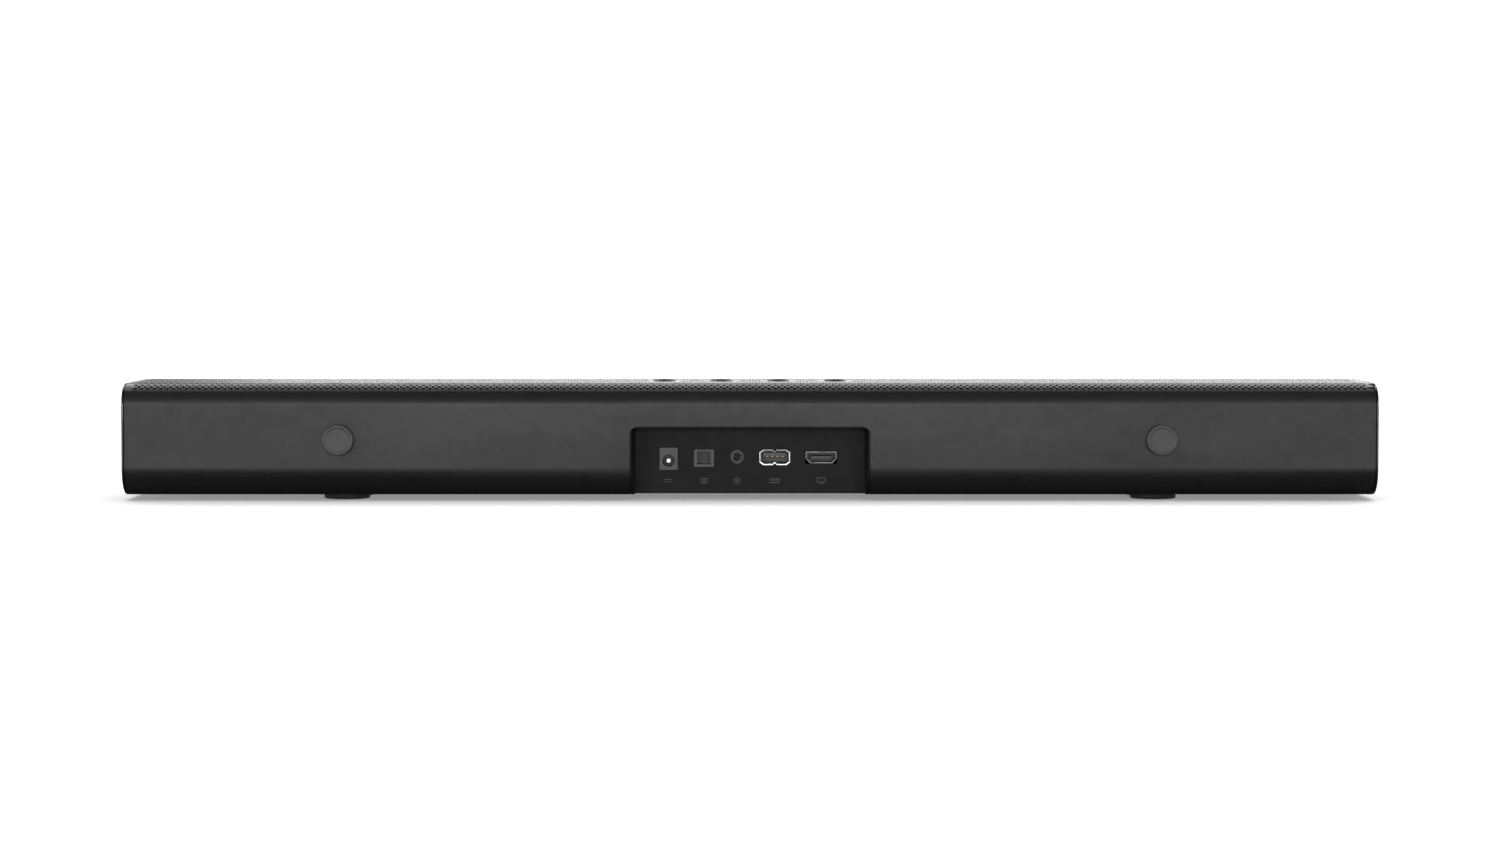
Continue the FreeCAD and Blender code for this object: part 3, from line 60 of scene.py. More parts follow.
# The housing's section, which the CAD boxes bound and these radii round.
FRONT_TOP_ROUND = 9 * MM
FRONT_BOTTOM_ROUND = 8 * MM
REAR_TOP_ROUND = 11 * MM
REAR_BOTTOM_ROUND = 14 * MM
sheet_low, sheet_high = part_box("grille")
cover_low, cover_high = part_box("rear_cover_left")
FRONT, REAR = sheet_low.y, cover_high.y
UNDER, TOP = sheet_low.z, sheet_high.z
BODY_END = sheet_high.x
SEAM_GAP = 0.3 * MM
COVER_EDGE_Z = cover_high.z
COVER_EDGE_Y = cover_low.y
MID_Z = (UNDER + TOP) / 2
bay_low, bay_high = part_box("port_panel")
COVER_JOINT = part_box("rear_cover_over_bay")[1].x


# ---- mesh building

def mesh_object(name, points, faces, smooth=32):
    """Mesh piece from points and faces, smooth except at edges sharper than the given angle."""
    mesh = bpy.data.meshes.new(name)
    mesh.from_pydata([tuple(p) for p in points], [], [tuple(int(i) for i in f) for f in faces])
    mesh.validate()
    mesh.shade_smooth()
    mesh.set_sharp_from_angle(angle=math.radians(smooth))
    piece = bpy.data.objects.new(name, mesh)
    bpy.context.scene.collection.objects.link(piece)
    return piece


def fillet(points, radii, steps=6, closed=True):
    """Outline with its corners rounded by arcs; a radius of 0 keeps a corner."""
    out, count = [], len(points)
    for i, corner in enumerate(points):
        if radii[i] <= 0 or (not closed and i in (0, count - 1)):
            out.append(tuple(corner))
            continue
        corner = np.array(corner, float)
        back = np.array(points[i - 1], float) - corner
        ahead = np.array(points[(i + 1) % count], float) - corner
        back_length, ahead_length = np.linalg.norm(back), np.linalg.norm(ahead)
        back, ahead = back / back_length, ahead / ahead_length
        half = math.acos(np.clip(back @ ahead, -1, 1)) / 2
        reach = min(radii[i] / math.tan(half), 0.49 * back_length, 0.49 * ahead_length)
        radius = reach * math.tan(half)
        middle = corner + (back + ahead) / np.linalg.norm(back + ahead) * radius / math.sin(half)
        start, end = corner + back * reach - middle, corner + ahead * reach - middle
        turn = math.atan2(start[0] * end[1] - start[1] * end[0], start @ end)
        for k in range(steps + 1):
            a = turn * k / steps
            out.append((
                middle[0] + start[0] * math.cos(a) - start[1] * math.sin(a),
                middle[1] + start[0] * math.sin(a) + start[1] * math.cos(a),
            ))
    return out


def lathe(name, profile, centre, axis="z", segments=64, ring=False):
    """Piece turned about Y or Z through centre, from (radius, height) points; a ring's profile closes."""
    points, faces, rows = [], [], []
    for radius, height in profile:
        if radius < 1e-7:
            rows.append([len(points)])
            points.append((0, 0, height))
            continue
        rows.append(list(range(len(points), len(points) + segments)))
        for k in range(segments):
            a = 2 * math.pi * k / segments
            points.append((radius * math.cos(a), radius * math.sin(a), height))
    pairs = list(zip(rows, rows[1:])) + ([(rows[-1], rows[0])] if ring else [])
    for low, high in pairs:
        for k in range(segments):
            n = (k + 1) % segments
            face = [low[k % len(low)], low[n % len(low)], high[n % len(high)], high[k % len(high)]]
            face = [v for i, v in enumerate(face) if v not in face[:i]]
            if len(face) > 2:
                faces.append(face)
    points = np.array(points)
    if axis == "y":
        points = np.stack([points[:, 0], points[:, 2], -points[:, 1]], 1)
    return closed_piece(name, points + np.array(centre), faces)


def closed_piece(name, points, faces, smooth=32):
    """Mesh piece whose faces are turned to look outwards."""
    piece = mesh_object(name, points, faces, smooth)
    edit = bmesh.new()
    edit.from_mesh(piece.data)
    bmesh.ops.recalc_face_normals(edit, faces=edit.faces)
    edit.to_mesh(piece.data)
    edit.free()
    piece.data.shade_smooth()
    piece.data.set_sharp_from_angle(angle=math.radians(smooth))
    return piece


def loft(name, rings, looped=False, smooth=32):
    """Skin through equal rings: looped joins the last to the first, otherwise both ends are capped."""
    count = len(rings[0])
    points = [p for ring in rings for p in ring]
    faces = []
    spans = len(rings) if looped else len(rings) - 1
    for i in range(spans):
        low, high = i * count, (i + 1) % len(rings) * count
        for k in range(count):
            n = (k + 1) % count
            faces.append((low + k, low + n, high + n, high + k))
    if not looped:
        faces.append(range(count - 1, -1, -1))
        faces.append(range((len(rings) - 1) * count, len(rings) * count))
    return closed_piece(name, points, faces, smooth)


def solid_sheet(name, flat, triangles, place, thickness, smooth=32):
    """Closed sheet over a flat pattern: place(points, depth) sets it in space, walls close its edges."""
    flat, triangles = np.asarray(flat, float), np.asarray(triangles, int)
    edges = np.concatenate([triangles[:, [0, 1]], triangles[:, [1, 2]], triangles[:, [2, 0]]])
    keys = np.sort(edges, 1)
    _, first, times = np.unique(keys, axis=0, return_index=True, return_counts=True)
    rim = edges[first[times == 1]]
    count = len(flat)
    points = np.concatenate([place(flat, 0.0), place(flat, thickness)])
    walls = np.stack([rim[:, 1], rim[:, 0], rim[:, 0] + count, rim[:, 1] + count], 1)
    under = triangles[:, ::-1] + count
    mesh = bpy.data.meshes.new(name)
    loops = np.concatenate([triangles.ravel(), under.ravel(), walls.ravel()])
    sizes = np.concatenate([np.full(2 * len(triangles), 3), np.full(len(walls), 4)])
    starts = np.concatenate([[0], np.cumsum(sizes)[:-1]])
    mesh.vertices.add(len(points))
    mesh.vertices.foreach_set("co", points.astype(np.float32).ravel())
    mesh.loops.add(len(loops))
    mesh.loops.foreach_set("vertex_index", loops.astype(np.int32))
    mesh.polygons.add(len(sizes))
    mesh.polygons.foreach_set("loop_start", starts.astype(np.int32))
    mesh.update(calc_edges=True)
    mesh.validate()
    mesh.shade_smooth()
    mesh.set_sharp_from_angle(angle=math.radians(smooth))
    piece = bpy.data.objects.new(name, mesh)
    bpy.context.scene.collection.objects.link(piece)
    return piece


def stroke(points, width, closed=False):
    """Flat ribbon along a line of points: its corner points and triangles, with mitred turns."""
    line = np.array(points, float)
    if closed:
        before, after = np.roll(line, 1, 0), np.roll(line, -1, 0)
    else:
        before = np.concatenate([[2 * line[0] - line[1]], line[:-1]])
        after = np.concatenate([line[1:], [2 * line[-1] - line[-2]]])
    into = (line - before) / np.linalg.norm(line - before, axis=1)[:, None]
    out = (after - line) / np.linalg.norm(after - line, axis=1)[:, None]
    bisector = into + out
    bisector /= np.linalg.norm(bisector, axis=1)[:, None]
    across = np.stack([-bisector[:, 1], bisector[:, 0]], 1)
    square = np.stack([-into[:, 1], into[:, 0]], 1)
    half = width / 2 / np.maximum((across * square).sum(1), 0.3)
    left, right = line + across * half[:, None], line - across * half[:, None]
    count = len(line)
    corners = np.concatenate([left, right])
    triangles = []
    for i in range(count if closed else count - 1):
        n = (i + 1) % count
        triangles += [(i, count + i, count + n), (i, count + n, n)]
    return corners, triangles


def line_art(name, strokes, width, place, thickness):
    """Raised line drawing: strokes are (points, closed) in millimetres."""
    flat, triangles, start = [], [], 0
    for points, closed in strokes:
        corners, made = stroke(np.array(points) * MM, width, closed)
        flat.append(corners)
        triangles += [tuple(start + i for i in t) for t in made]
        start += len(corners)
    return solid_sheet(name, np.concatenate(flat), triangles, place, thickness)


def arc_points(centre, radius, start, end, steps=20):
    """Points on an arc, angles in degrees."""
    angles = np.radians(np.linspace(start, end, steps + 1))
    return [(centre[0] + radius * math.cos(a), centre[1] + radius * math.sin(a)) for a in angles]


# ---- materials

def new_material(name):
    """Empty node material: its tree, its shader and its object coordinates."""
    made = bpy.data.materials.new(name)
    made.use_nodes = True
    tree = made.node_tree
    shader = tree.nodes["Principled BSDF"]
    coordinates = tree.nodes.new("ShaderNodeTexCoord").outputs["Object"]
    return made, tree, shader, coordinates


def noise(tree, where, scale, detail=2.0, stretch=None):
    """Noise by size in metres: scale is the grain's width, stretch multiplies it along each axis."""
    if stretch:
        mapping = tree.nodes.new("ShaderNodeMapping")
        mapping.inputs["Scale"].default_value = [1 / s for s in stretch]
        tree.links.new(where, mapping.inputs["Vector"])
        where = mapping.outputs["Vector"]
    texture = tree.nodes.new("ShaderNodeTexNoise")
    texture.inputs["Scale"].default_value = 1 / scale
    texture.inputs["Detail"].default_value = detail
    tree.links.new(where, texture.inputs["Vector"])
    return texture.outputs["Fac"]


def spread(tree, value, low, high, start=0.3, end=0.7):
    """Value mapped from start..end to low..high, held within it."""
    ramp = tree.nodes.new("ShaderNodeMapRange")
    ramp.inputs["From Min"].default_value = start
    ramp.inputs["From Max"].default_value = end
    ramp.inputs["To Min"].default_value = low
    ramp.inputs["To Max"].default_value = high
    tree.links.new(value, ramp.inputs["Value"])
    return ramp.outputs["Result"]


def tint(tree, value, dark, light):
    """Colour between two by a value from 0 to 1."""
    mix = tree.nodes.new("ShaderNodeMix")
    mix.data_type = "RGBA"
    mix.inputs["A"].default_value = (*dark, 1)
    mix.inputs["B"].default_value = (*light, 1)
    tree.links.new(value, mix.inputs["Factor"])
    return mix.outputs["Result"]


def relief(tree, shader, layers, edge=0.0):
    """Bump from (height, depth in metres, strength) layers, over rounded edges of the given radius."""
    normal = None
    if edge:
        bevel = tree.nodes.new("ShaderNodeBevel")
        bevel.samples = 4
        bevel.inputs["Radius"].default_value = edge
        normal = bevel.outputs["Normal"]
    for height, depth, strength in layers:
        bump = tree.nodes.new("ShaderNodeBump")
        bump.inputs["Distance"].default_value = depth
        bump.inputs["Strength"].default_value = strength
        tree.links.new(height, bump.inputs["Height"])
        if normal:
            tree.links.new(normal, bump.inputs["Normal"])
        normal = bump.outputs["Normal"]
    if normal:
        tree.links.new(normal, shader.inputs["Normal"])


def moulded(name, dark, light, rough, grain, depth=0.02 * MM, strength=0.5, edge=0.0, gloss=0.5,
            handled=0.04):
    """Moulded plastic or rubber: sparked grain, and a sheen that varies by handled on both sides of rough."""
    made, tree, shader, where = new_material(name)
    cloud = noise(tree, where, 45 * MM, 4, (2.5, 1, 1))
    fine = noise(tree, where, grain, 3)
    blotch = noise(tree, where, 6 * MM, 5)
    tree.links.new(tint(tree, spread(tree, fine, 0, 1), dark, light), shader.inputs["Base Color"])
    add = tree.nodes.new("ShaderNodeMath")
    add.operation = "ADD"
    tree.links.new(spread(tree, cloud, rough - handled, rough + handled), add.inputs[0])
    tree.links.new(spread(tree, blotch, -handled / 2, handled / 2), add.inputs[1])
    tree.links.new(add.outputs["Value"], shader.inputs["Roughness"])
    shader.inputs["Specular IOR Level"].default_value = gloss
    relief(tree, shader, [(fine, depth, strength)], edge)
    return made


def metal(name, dark, light, rough, grain, stretch=None, strength=0.25, edge=0.0):
    """Bare or plated metal with drawn or rolled grain and slightly uneven tarnish."""
    made, tree, shader, where = new_material(name)
    lines = noise(tree, where, grain, 4, stretch)
    tarnish = noise(tree, where, 3.5 * MM, 5)
    tree.links.new(tint(tree, spread(tree, tarnish, 0, 1), dark, light), shader.inputs["Base Color"])
    tree.links.new(spread(tree, lines, rough * 0.7, rough * 1.35), shader.inputs["Roughness"])
    shader.inputs["Metallic"].default_value = 1.0
    relief(tree, shader, [(lines, 0.01 * MM, strength)], edge)
    return made


def powder_coat(name):
    """Satin black powder coat of the perforated sheet, with orange peel."""
    made, tree, shader, where = new_material(name)
    peel = noise(tree, where, 0.9 * MM, 2)
    speck = noise(tree, where, 0.12 * MM, 2)
    tree.links.new(tint(tree, spread(tree, speck, 0, 1), (0.030, 0.030, 0.031), (0.055, 0.055, 0.057)),
                   shader.inputs["Base Color"])
    tree.links.new(spread(tree, peel, 0.26, 0.36), shader.inputs["Roughness"])
    shader.inputs["Specular IOR Level"].default_value = 0.7
    relief(tree, shader, [(peel, 0.01 * MM, 0.3), (speck, 0.003 * MM, 0.3)])
    return made


def piano_black(name):
    """High-gloss black with a clear coat and a trace of moulding flow."""
    made, tree, shader, where = new_material(name)
    flow = noise(tree, where, 22 * MM, 2)
    haze = noise(tree, where, 1.2 * MM, 5)
    tree.links.new(tint(tree, spread(tree, flow, 0, 1), (0.004, 0.004, 0.005), (0.008, 0.008, 0.009)),
                   shader.inputs["Base Color"])
    tree.links.new(spread(tree, haze, 0.06, 0.11), shader.inputs["Roughness"])
    shader.inputs["Coat Weight"].default_value = 1.0
    shader.inputs["Coat Roughness"].default_value = 0.04
    relief(tree, shader, [(flow, 0.05 * MM, 0.15)])
    return made


WAVE_PERIOD = 0.314  # metres between the bands of a wave texture at scale 1


def woven(name, dark, light, pitch, rough=0.9):
    """Plain weave: warp and weft waves cross, and the higher one shows."""
    made, tree, shader, where = new_material(name)
    waves = []
    for axis in ("X", "Z"):
        wave = tree.nodes.new("ShaderNodeTexWave")
        wave.bands_direction = axis
        wave.inputs["Scale"].default_value = WAVE_PERIOD / pitch
        wave.inputs["Distortion"].default_value = 0.6
        tree.links.new(where, wave.inputs["Vector"])
        waves.append(wave.outputs["Fac"])
    higher = tree.nodes.new("ShaderNodeMath")
    higher.operation = "MAXIMUM"
    for i in range(2):
        tree.links.new(waves[i], higher.inputs[i])
    tree.links.new(tint(tree, higher.outputs["Value"], dark, light), shader.inputs["Base Color"])
    fuzz = noise(tree, where, 0.15 * MM, 3)
    tree.links.new(spread(tree, fuzz, rough - 0.06, rough + 0.06), shader.inputs["Roughness"])
    shader.inputs["Sheen Weight"].default_value = 0.15
    relief(tree, shader, [(higher.outputs["Value"], 0.05 * MM, 0.7), (fuzz, 0.02 * MM, 0.3)])
    return made


TRACK_CELL = 2.4 * MM


def circuit_board(name):
    """Green solder mask, lighter and raised over tracks that follow the edges of a Voronoi pattern."""
    made, tree, shader, where = new_material(name)
    cells = tree.nodes.new("ShaderNodeTexVoronoi")
    cells.feature = "DISTANCE_TO_EDGE"
    cells.distance = "CHEBYCHEV"
    cells.inputs["Scale"].default_value = 1 / TRACK_CELL
    tree.links.new(where, cells.inputs["Vector"])
    track = spread(tree, cells.outputs["Distance"], 1, 0, 0.03, 0.05)
    tree.links.new(tint(tree, track, (0.004, 0.05, 0.018), (0.012, 0.13, 0.045)), shader.inputs["Base Color"])
    mask = noise(tree, where, 0.4 * MM, 2)
    tree.links.new(spread(tree, mask, 0.25, 0.4), shader.inputs["Roughness"])
    relief(tree, shader, [(track, 0.035 * MM, 0.6), (mask, 0.01 * MM, 0.2)])
    return made


def clear(name, colour):
    """Clear moulding with fine haze."""
    made, tree, shader, where = new_material(name)
    haze = noise(tree, where, 0.5 * MM, 4)
    tree.links.new(spread(tree, haze, 0.04, 0.12), shader.inputs["Roughness"])
    tree.links.new(tint(tree, spread(tree, haze, 0, 1), colour, tuple(min(1, c * 1.1) for c in colour)),
                   shader.inputs["Base Color"])
    shader.inputs["Transmission Weight"].default_value = 0.85
    shader.inputs["IOR"].default_value = 1.49
    return made


def studio_floor(name):
    """Pale matt paper sweep with faint mottling, which glows a little more with distance from the bar."""
    made, tree, shader, where = new_material(name)
    mottle = noise(tree, where, 0.35, 3)
    tree.links.new(tint(tree, spread(tree, mottle, 0, 1), (0.80, 0.80, 0.80), (0.86, 0.86, 0.86)),
                   shader.inputs["Base Color"])
    shader.inputs["Roughness"].default_value = 0.85
    shader.inputs["Specular IOR Level"].default_value = 0.1
    shader.inputs["Emission Color"].default_value = (1, 1, 1, 1)
    away = tree.nodes.new("ShaderNodeVectorMath")
    away.operation = "LENGTH"
    tree.links.new(where, away.inputs[0])
    glow = spread(tree, away.outputs["Value"], 0.25, 0.9, 0.4, 2.2)
    tree.links.new(glow, shader.inputs["Emission Strength"])
    return made


def grey(level):
    """Slightly cool grey of a given level."""
    return (level, level, level * 1.03)


def make_materials():
    """Every material slot of the record, by its name."""
    return {
        "cover_plastic": moulded("cover_plastic", grey(0.005), grey(0.011), 0.40, 0.28 * MM,
                                 edge=0.25 * MM, handled=0.06),
        "chassis_plastic": moulded("chassis_plastic", grey(0.008), grey(0.014), 0.5, 0.4 * MM, edge=0.2 * MM),
        "grille_steel": powder_coat("grille_steel"),
        "black_cloth": woven("black_cloth", grey(0.002), grey(0.008), 0.35 * MM),
        "gloss_black": piano_black("gloss_black"),
        "panel_plastic": moulded("panel_plastic", grey(0.004), grey(0.009), 0.5, 0.22 * MM, edge=0.2 * MM,
                                 gloss=0.2),
        "foot_rubber": moulded("foot_rubber", grey(0.010), grey(0.020), 0.7, 0.5 * MM, 0.03 * MM, 0.6,
                               gloss=0.35),
        "plug_rubber": moulded("plug_rubber", grey(0.030), grey(0.048), 0.42, 0.35 * MM, 0.02 * MM, 0.4),
        "brass": metal("brass", (0.55, 0.38, 0.14), (0.80, 0.60, 0.27), 0.3, 0.08 * MM, edge=0.05 * MM),
        "button_plastic": moulded("button_plastic", grey(0.012), grey(0.022), 0.38, 0.3 * MM, 0.01 * MM, 0.4),
        "white_plastic": moulded("white_plastic", (0.62, 0.61, 0.57), (0.74, 0.73, 0.69), 0.4, 0.4 * MM),
        "switch_metal": metal("switch_metal", (0.45, 0.45, 0.46), (0.62, 0.62, 0.63), 0.3, 0.2 * MM,
                              (6, 1, 1),
                              edge=0.1 * MM),
        "board_green": circuit_board("board_green"),
        "jack_plastic": moulded("jack_plastic", grey(0.045), grey(0.070), 0.4, 0.2 * MM, 0.01 * MM, 0.4,
                                edge=0.15 * MM),
        "pin_metal": metal("pin_metal", (0.45, 0.45, 0.46), (0.62, 0.62, 0.63), 0.2, 0.1 * MM,
                           edge=0.15 * MM),
        "lens_glass": clear("lens_glass", (0.20, 0.21, 0.24)),
        "bright_steel": metal("bright_steel", (0.46, 0.46, 0.47), (0.66, 0.66, 0.67), 0.22, 0.12 * MM,
                              (1, 8, 1)),
        "dull_steel": metal("dull_steel", (0.10, 0.10, 0.105), (0.22, 0.22, 0.225), 0.38, 0.15 * MM,
                            (1, 6, 1),
                            edge=0.1 * MM),
        "black_aluminium": metal("black_aluminium", grey(0.03), grey(0.06), 0.4, 0.2 * MM, (1, 8, 1),
                                 edge=0.1 * MM),
        "chip_epoxy": moulded("chip_epoxy", grey(0.012), grey(0.028), 0.55, 0.15 * MM, edge=0.1 * MM),
        "can_aluminium": metal("can_aluminium", (0.55, 0.55, 0.57), (0.72, 0.72, 0.74), 0.28, 0.2 * MM,
                               edge=0.3 * MM),
        "clear_pipe": clear("clear_pipe", (0.82, 0.84, 0.86)),
        "ferrite": moulded("ferrite", grey(0.03), grey(0.07), 0.45, 0.25 * MM, 0.03 * MM, 0.6, edge=0.2 * MM),
        "cone_paper": woven("cone_paper", grey(0.010), grey(0.035), 0.5 * MM, 0.8),
        "surround_rubber": moulded("surround_rubber", grey(0.010), grey(0.018), 0.5, 0.6 * MM, 0.01 * MM,
                                   0.3),
        "spider_cloth": woven("spider_cloth", (0.22, 0.15, 0.04), (0.45, 0.33, 0.12), 0.45 * MM),
        "copper": metal("copper", (0.45, 0.16, 0.07), (0.72, 0.32, 0.16), 0.3, 0.12 * MM, (8, 1, 8)),
        "gasket_foam": moulded("gasket_foam", grey(0.008), grey(0.03), 0.9, 0.4 * MM, 0.1 * MM, 0.9,
                               gloss=0.2),
        "lead_pvc": moulded("lead_pvc", (0.22, 0.012, 0.012), (0.34, 0.02, 0.02), 0.38, 0.5 * MM,
                            0.01 * MM, 0.3),
        "screw_steel": metal("screw_steel", (0.30, 0.30, 0.31), (0.46, 0.46, 0.47), 0.3, 0.15 * MM,
                             edge=0.1 * MM),
    }


materials = make_materials()
print_grey = moulded("print_grey", (0.07, 0.07, 0.07), (0.11, 0.11, 0.11), 0.5, 0.2 * MM, 0.005 * MM, 0.3)
icon_grey = moulded("icon_grey", (0.42, 0.42, 0.42), (0.52, 0.52, 0.52), 0.45, 0.2 * MM, 0.005 * MM, 0.3)


def finish_piece(piece, slot, body, *replaced, material=None):
    """Give a piece its material and slot, set it on its body and let it stand for CAD nodes."""
    piece.data.materials.clear()
    piece.data.materials.append(material or materials[slot])
    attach(piece, body)
    if replaced:
        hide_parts(*replaced)
    return piece


def dress_cad_nodes():
    """Give every CAD node the material of its slot."""
    for part in frame["record"]["subparts"]:
        node = frame["nodes"][part["node"]]
        node.data.materials.clear()
        node.data.materials.append(materials[part["material_slot"]])


# ---- grille

PERF_HALF = 1.55 * MM  # half the pitch along a row, and the pitch between rows
PERF_RADIUS = 0.88 * MM
PERF_SIDES = 8
GRILLE_SHEET = 0.8 * MM
GRILLE_STRIPS = 4
LAND_RADIUS = 9 * MM  # plain land round a button
BUTTON_HOLE = 6.1 * MM
HOLE_SEGMENTS = 48

seam_angle = math.asin((COVER_EDGE_Z + SEAM_GAP - (TOP - REAR_TOP_ROUND)) / REAR_TOP_ROUND)
# The sheet's section from the rear seam over the top, down the front and under: each arc has its length,
# centre, radius and first angle, and each run its length, start, heading and outward direction.
WRAP = [
    ("arc", REAR_TOP_ROUND * (math.pi / 2 - seam_angle), (REAR - REAR_TOP_ROUND, TOP - REAR_TOP_ROUND),
     REAR_TOP_ROUND, seam_angle),
    ("run", REAR - REAR_TOP_ROUND - FRONT - FRONT_TOP_ROUND, (REAR - REAR_TOP_ROUND, TOP), (-1, 0), (0, 1)),
    ("arc", FRONT_TOP_ROUND * math.pi / 2, (FRONT + FRONT_TOP_ROUND, TOP - FRONT_TOP_ROUND),
     FRONT_TOP_ROUND, math.pi / 2),
    ("run", TOP - UNDER - FRONT_TOP_ROUND - FRONT_BOTTOM_ROUND, (FRONT, TOP - FRONT_TOP_ROUND),
     (0, -1), (-1, 0)),
    ("arc", FRONT_BOTTOM_ROUND * math.pi / 2, (FRONT + FRONT_BOTTOM_ROUND, UNDER + FRONT_BOTTOM_ROUND),
     FRONT_BOTTOM_ROUND, math.pi),
    ("run", COVER_EDGE_Y - SEAM_GAP - FRONT - FRONT_BOTTOM_ROUND, (FRONT + FRONT_BOTTOM_ROUND, UNDER),
     (1, 0), (0, -1)),
]
WRAP_LENGTH = sum(part[1] for part in WRAP)


def wrapped(flat, depth):
    """Points (along X, along the wrap) set on the housing's section, drawn in by depth."""
    along, start = flat[:, 1], 0.0
    y, z = np.zeros(len(flat)), np.zeros(len(flat))
    for kind, length, origin, *shape in WRAP:
        on = (along >= start - 1e-9) & (along <= start + length + 1e-9)
        t = along[on] - start
        if kind == "arc":
            radius, first_angle = shape
            angle = first_angle + t / radius
            y[on] = origin[0] + (radius - depth) * np.cos(angle)
            z[on] = origin[1] + (radius - depth) * np.sin(angle)
        else:
            heading, outward = shape
            y[on] = origin[0] + heading[0] * t - outward[0] * depth
            z[on] = origin[1] + heading[1] * t - outward[1] * depth
        start += length
    return np.stack([flat[:, 0], y, z], 1)


def button_spots():
    """Name, x and y of each button, from its CAD box."""
    spots = []
    for name in BUTTONS:
        low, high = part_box(f"button_{name}")
        spots.append((name, (low.x + high.x) / 2, (low.y + high.y) / 2))
    return spots


def perforated_pattern():
    """Triangles of the whole perforated pattern, as flat points (along X, along the wrap)."""
    half = PERF_HALF
    columns = int(2 * BODY_END / (2 * half)) - 2
    rows = int(WRAP_LENGTH / (2 * half)) * 2
    left = -columns * half
    margin = WRAP_LENGTH - rows * half
    spots = [(x, WRAP[0][1] + (REAR - REAR_TOP_ROUND - y)) for _, x, y in button_spots()]
    angles = np.arange(PERF_SIDES) * 2 * math.pi / PERF_SIDES
    ring = np.stack([np.cos(angles), np.sin(angles)], 1) * PERF_RADIUS
    corner = np.array([(half, 0), (0, half), (-half, 0), (0, -half)])
    cell = []
    for q in range(4):
        a, b = corner[q], corner[(q + 1) % 4]
        h0, h1, h2 = ring[2 * q], ring[2 * q + 1], ring[(2 * q + 2) % PERF_SIDES]
        cell += [(a, b, h1), (a, h1, h0), (b, h2, h1)]
    cell = np.array(cell)
    whole, plain, removed = [], [], {i: [] for i in range(len(spots))}
    for j in range(rows + 1):
        for i in range(2 * columns + 1):
            if (i + j) % 2:
                continue
            centre = np.array([left + i * half, j * half])
            near = [k for k, spot in enumerate(spots) if np.hypot(*(centre - spot)) < LAND_RADIUS]
            inside = 0 < i < 2 * columns and 0 < j < rows
            if near:
                removed[near[0]].append(centre)
            elif inside:
                whole.append(centre)
            else:
                plain.append(clipped_cell(centre, corner, left, -left, 0, rows * half))
    triangles = [(np.array(whole)[:, None, None, :] + cell[None]).reshape(-1, 3, 2)]
    triangles.append(np.array([t for fan in plain for t in fan]))
    for k, spot in enumerate(spots):
        triangles.append(land(removed[k], corner, np.array(spot)))
    levels = [left + 2 * i * half for i in range(columns + 1)]
    last = rows * half
    strips = []
    for a, b in zip(levels, levels[1:]):
        strips += quad((a, last), (b, last), (b, last + margin), (a, last + margin))
    heights = [2 * j * half for j in range(rows // 2 + 1)] + [WRAP_LENGTH]
    for low, high in zip(heights, heights[1:]):
        strips += quad((-BODY_END, low), (left, low), (left, high), (-BODY_END, high))
        strips += quad((-left, low), (BODY_END, low), (BODY_END, high), (-left, high))
    triangles.append(np.array(strips))
    return np.concatenate(triangles)


def quad(a, b, c, d):
    """Two triangles of a flat quad."""
    return [(a, b, c), (a, c, d)]


def clipped_cell(centre, corner, low_x, high_x, low_y, high_y):
    """Fan of the part of a plain border cell that lies in the lattice's rectangle."""
    low, high = np.array([low_x, low_y]) - 1e-9, np.array([high_x, high_y]) + 1e-9
    kept = [p for p in centre + corner if (low <= p).all() and (p <= high).all()]
    if len(kept) == 2:
        kept.append(centre)
    ordered = sorted(kept, key=lambda p: math.atan2(*(p - np.mean(kept, 0))[::-1]))
    return [(ordered[0], ordered[i], ordered[i + 1]) for i in range(1, len(ordered) - 1)]


def land(centres, corner, spot):
    """Plain land round a button: triangles between its hole and the cells that were left out."""
    edges = {}
    for centre in centres:
        for q in range(4):
            a, b = (tuple(np.round(centre + corner[k % 4], 9)) for k in (q, q + 1))
            key = (min(a, b), max(a, b))
            edges[key] = edges.get(key, 0) + 1
    rim = [key for key, times in edges.items() if times == 1]
    points, index = [], {}
    for key in rim:
        for p in key:
            if p not in index:
                index[p] = len(points)
                points.append(Vector(p))
    lines = [(index[a], index[b]) for a, b in rim]
    first = len(points)
    for k in range(HOLE_SEGMENTS):
        a = 2 * math.pi * k / HOLE_SEGMENTS
        points.append(Vector((spot[0] + BUTTON_HOLE * math.cos(a), spot[1] + BUTTON_HOLE * math.sin(a))))
        lines.append((first + k, first + (k + 1) % HOLE_SEGMENTS))
    made = delaunay_2d_cdt(points, lines, [], 1, 1e-9)
    corners, faces = made[0], made[2]
    kept = []
    for face in faces:
        flat = np.array([corners[i][:] for i in face])
        middle = flat.mean(0)
        if np.hypot(*(middle - spot)) > BUTTON_HOLE * 0.99 and inside_cells(middle, centres):
            kept.append(flat)
    return np.array(kept)


def inside_cells(point, centres):
    """Whether a point lies in one of the diamond cells."""
    away = np.abs(np.array(centres) - point).sum(1)
    return away.min() <= PERF_HALF * 1.0001


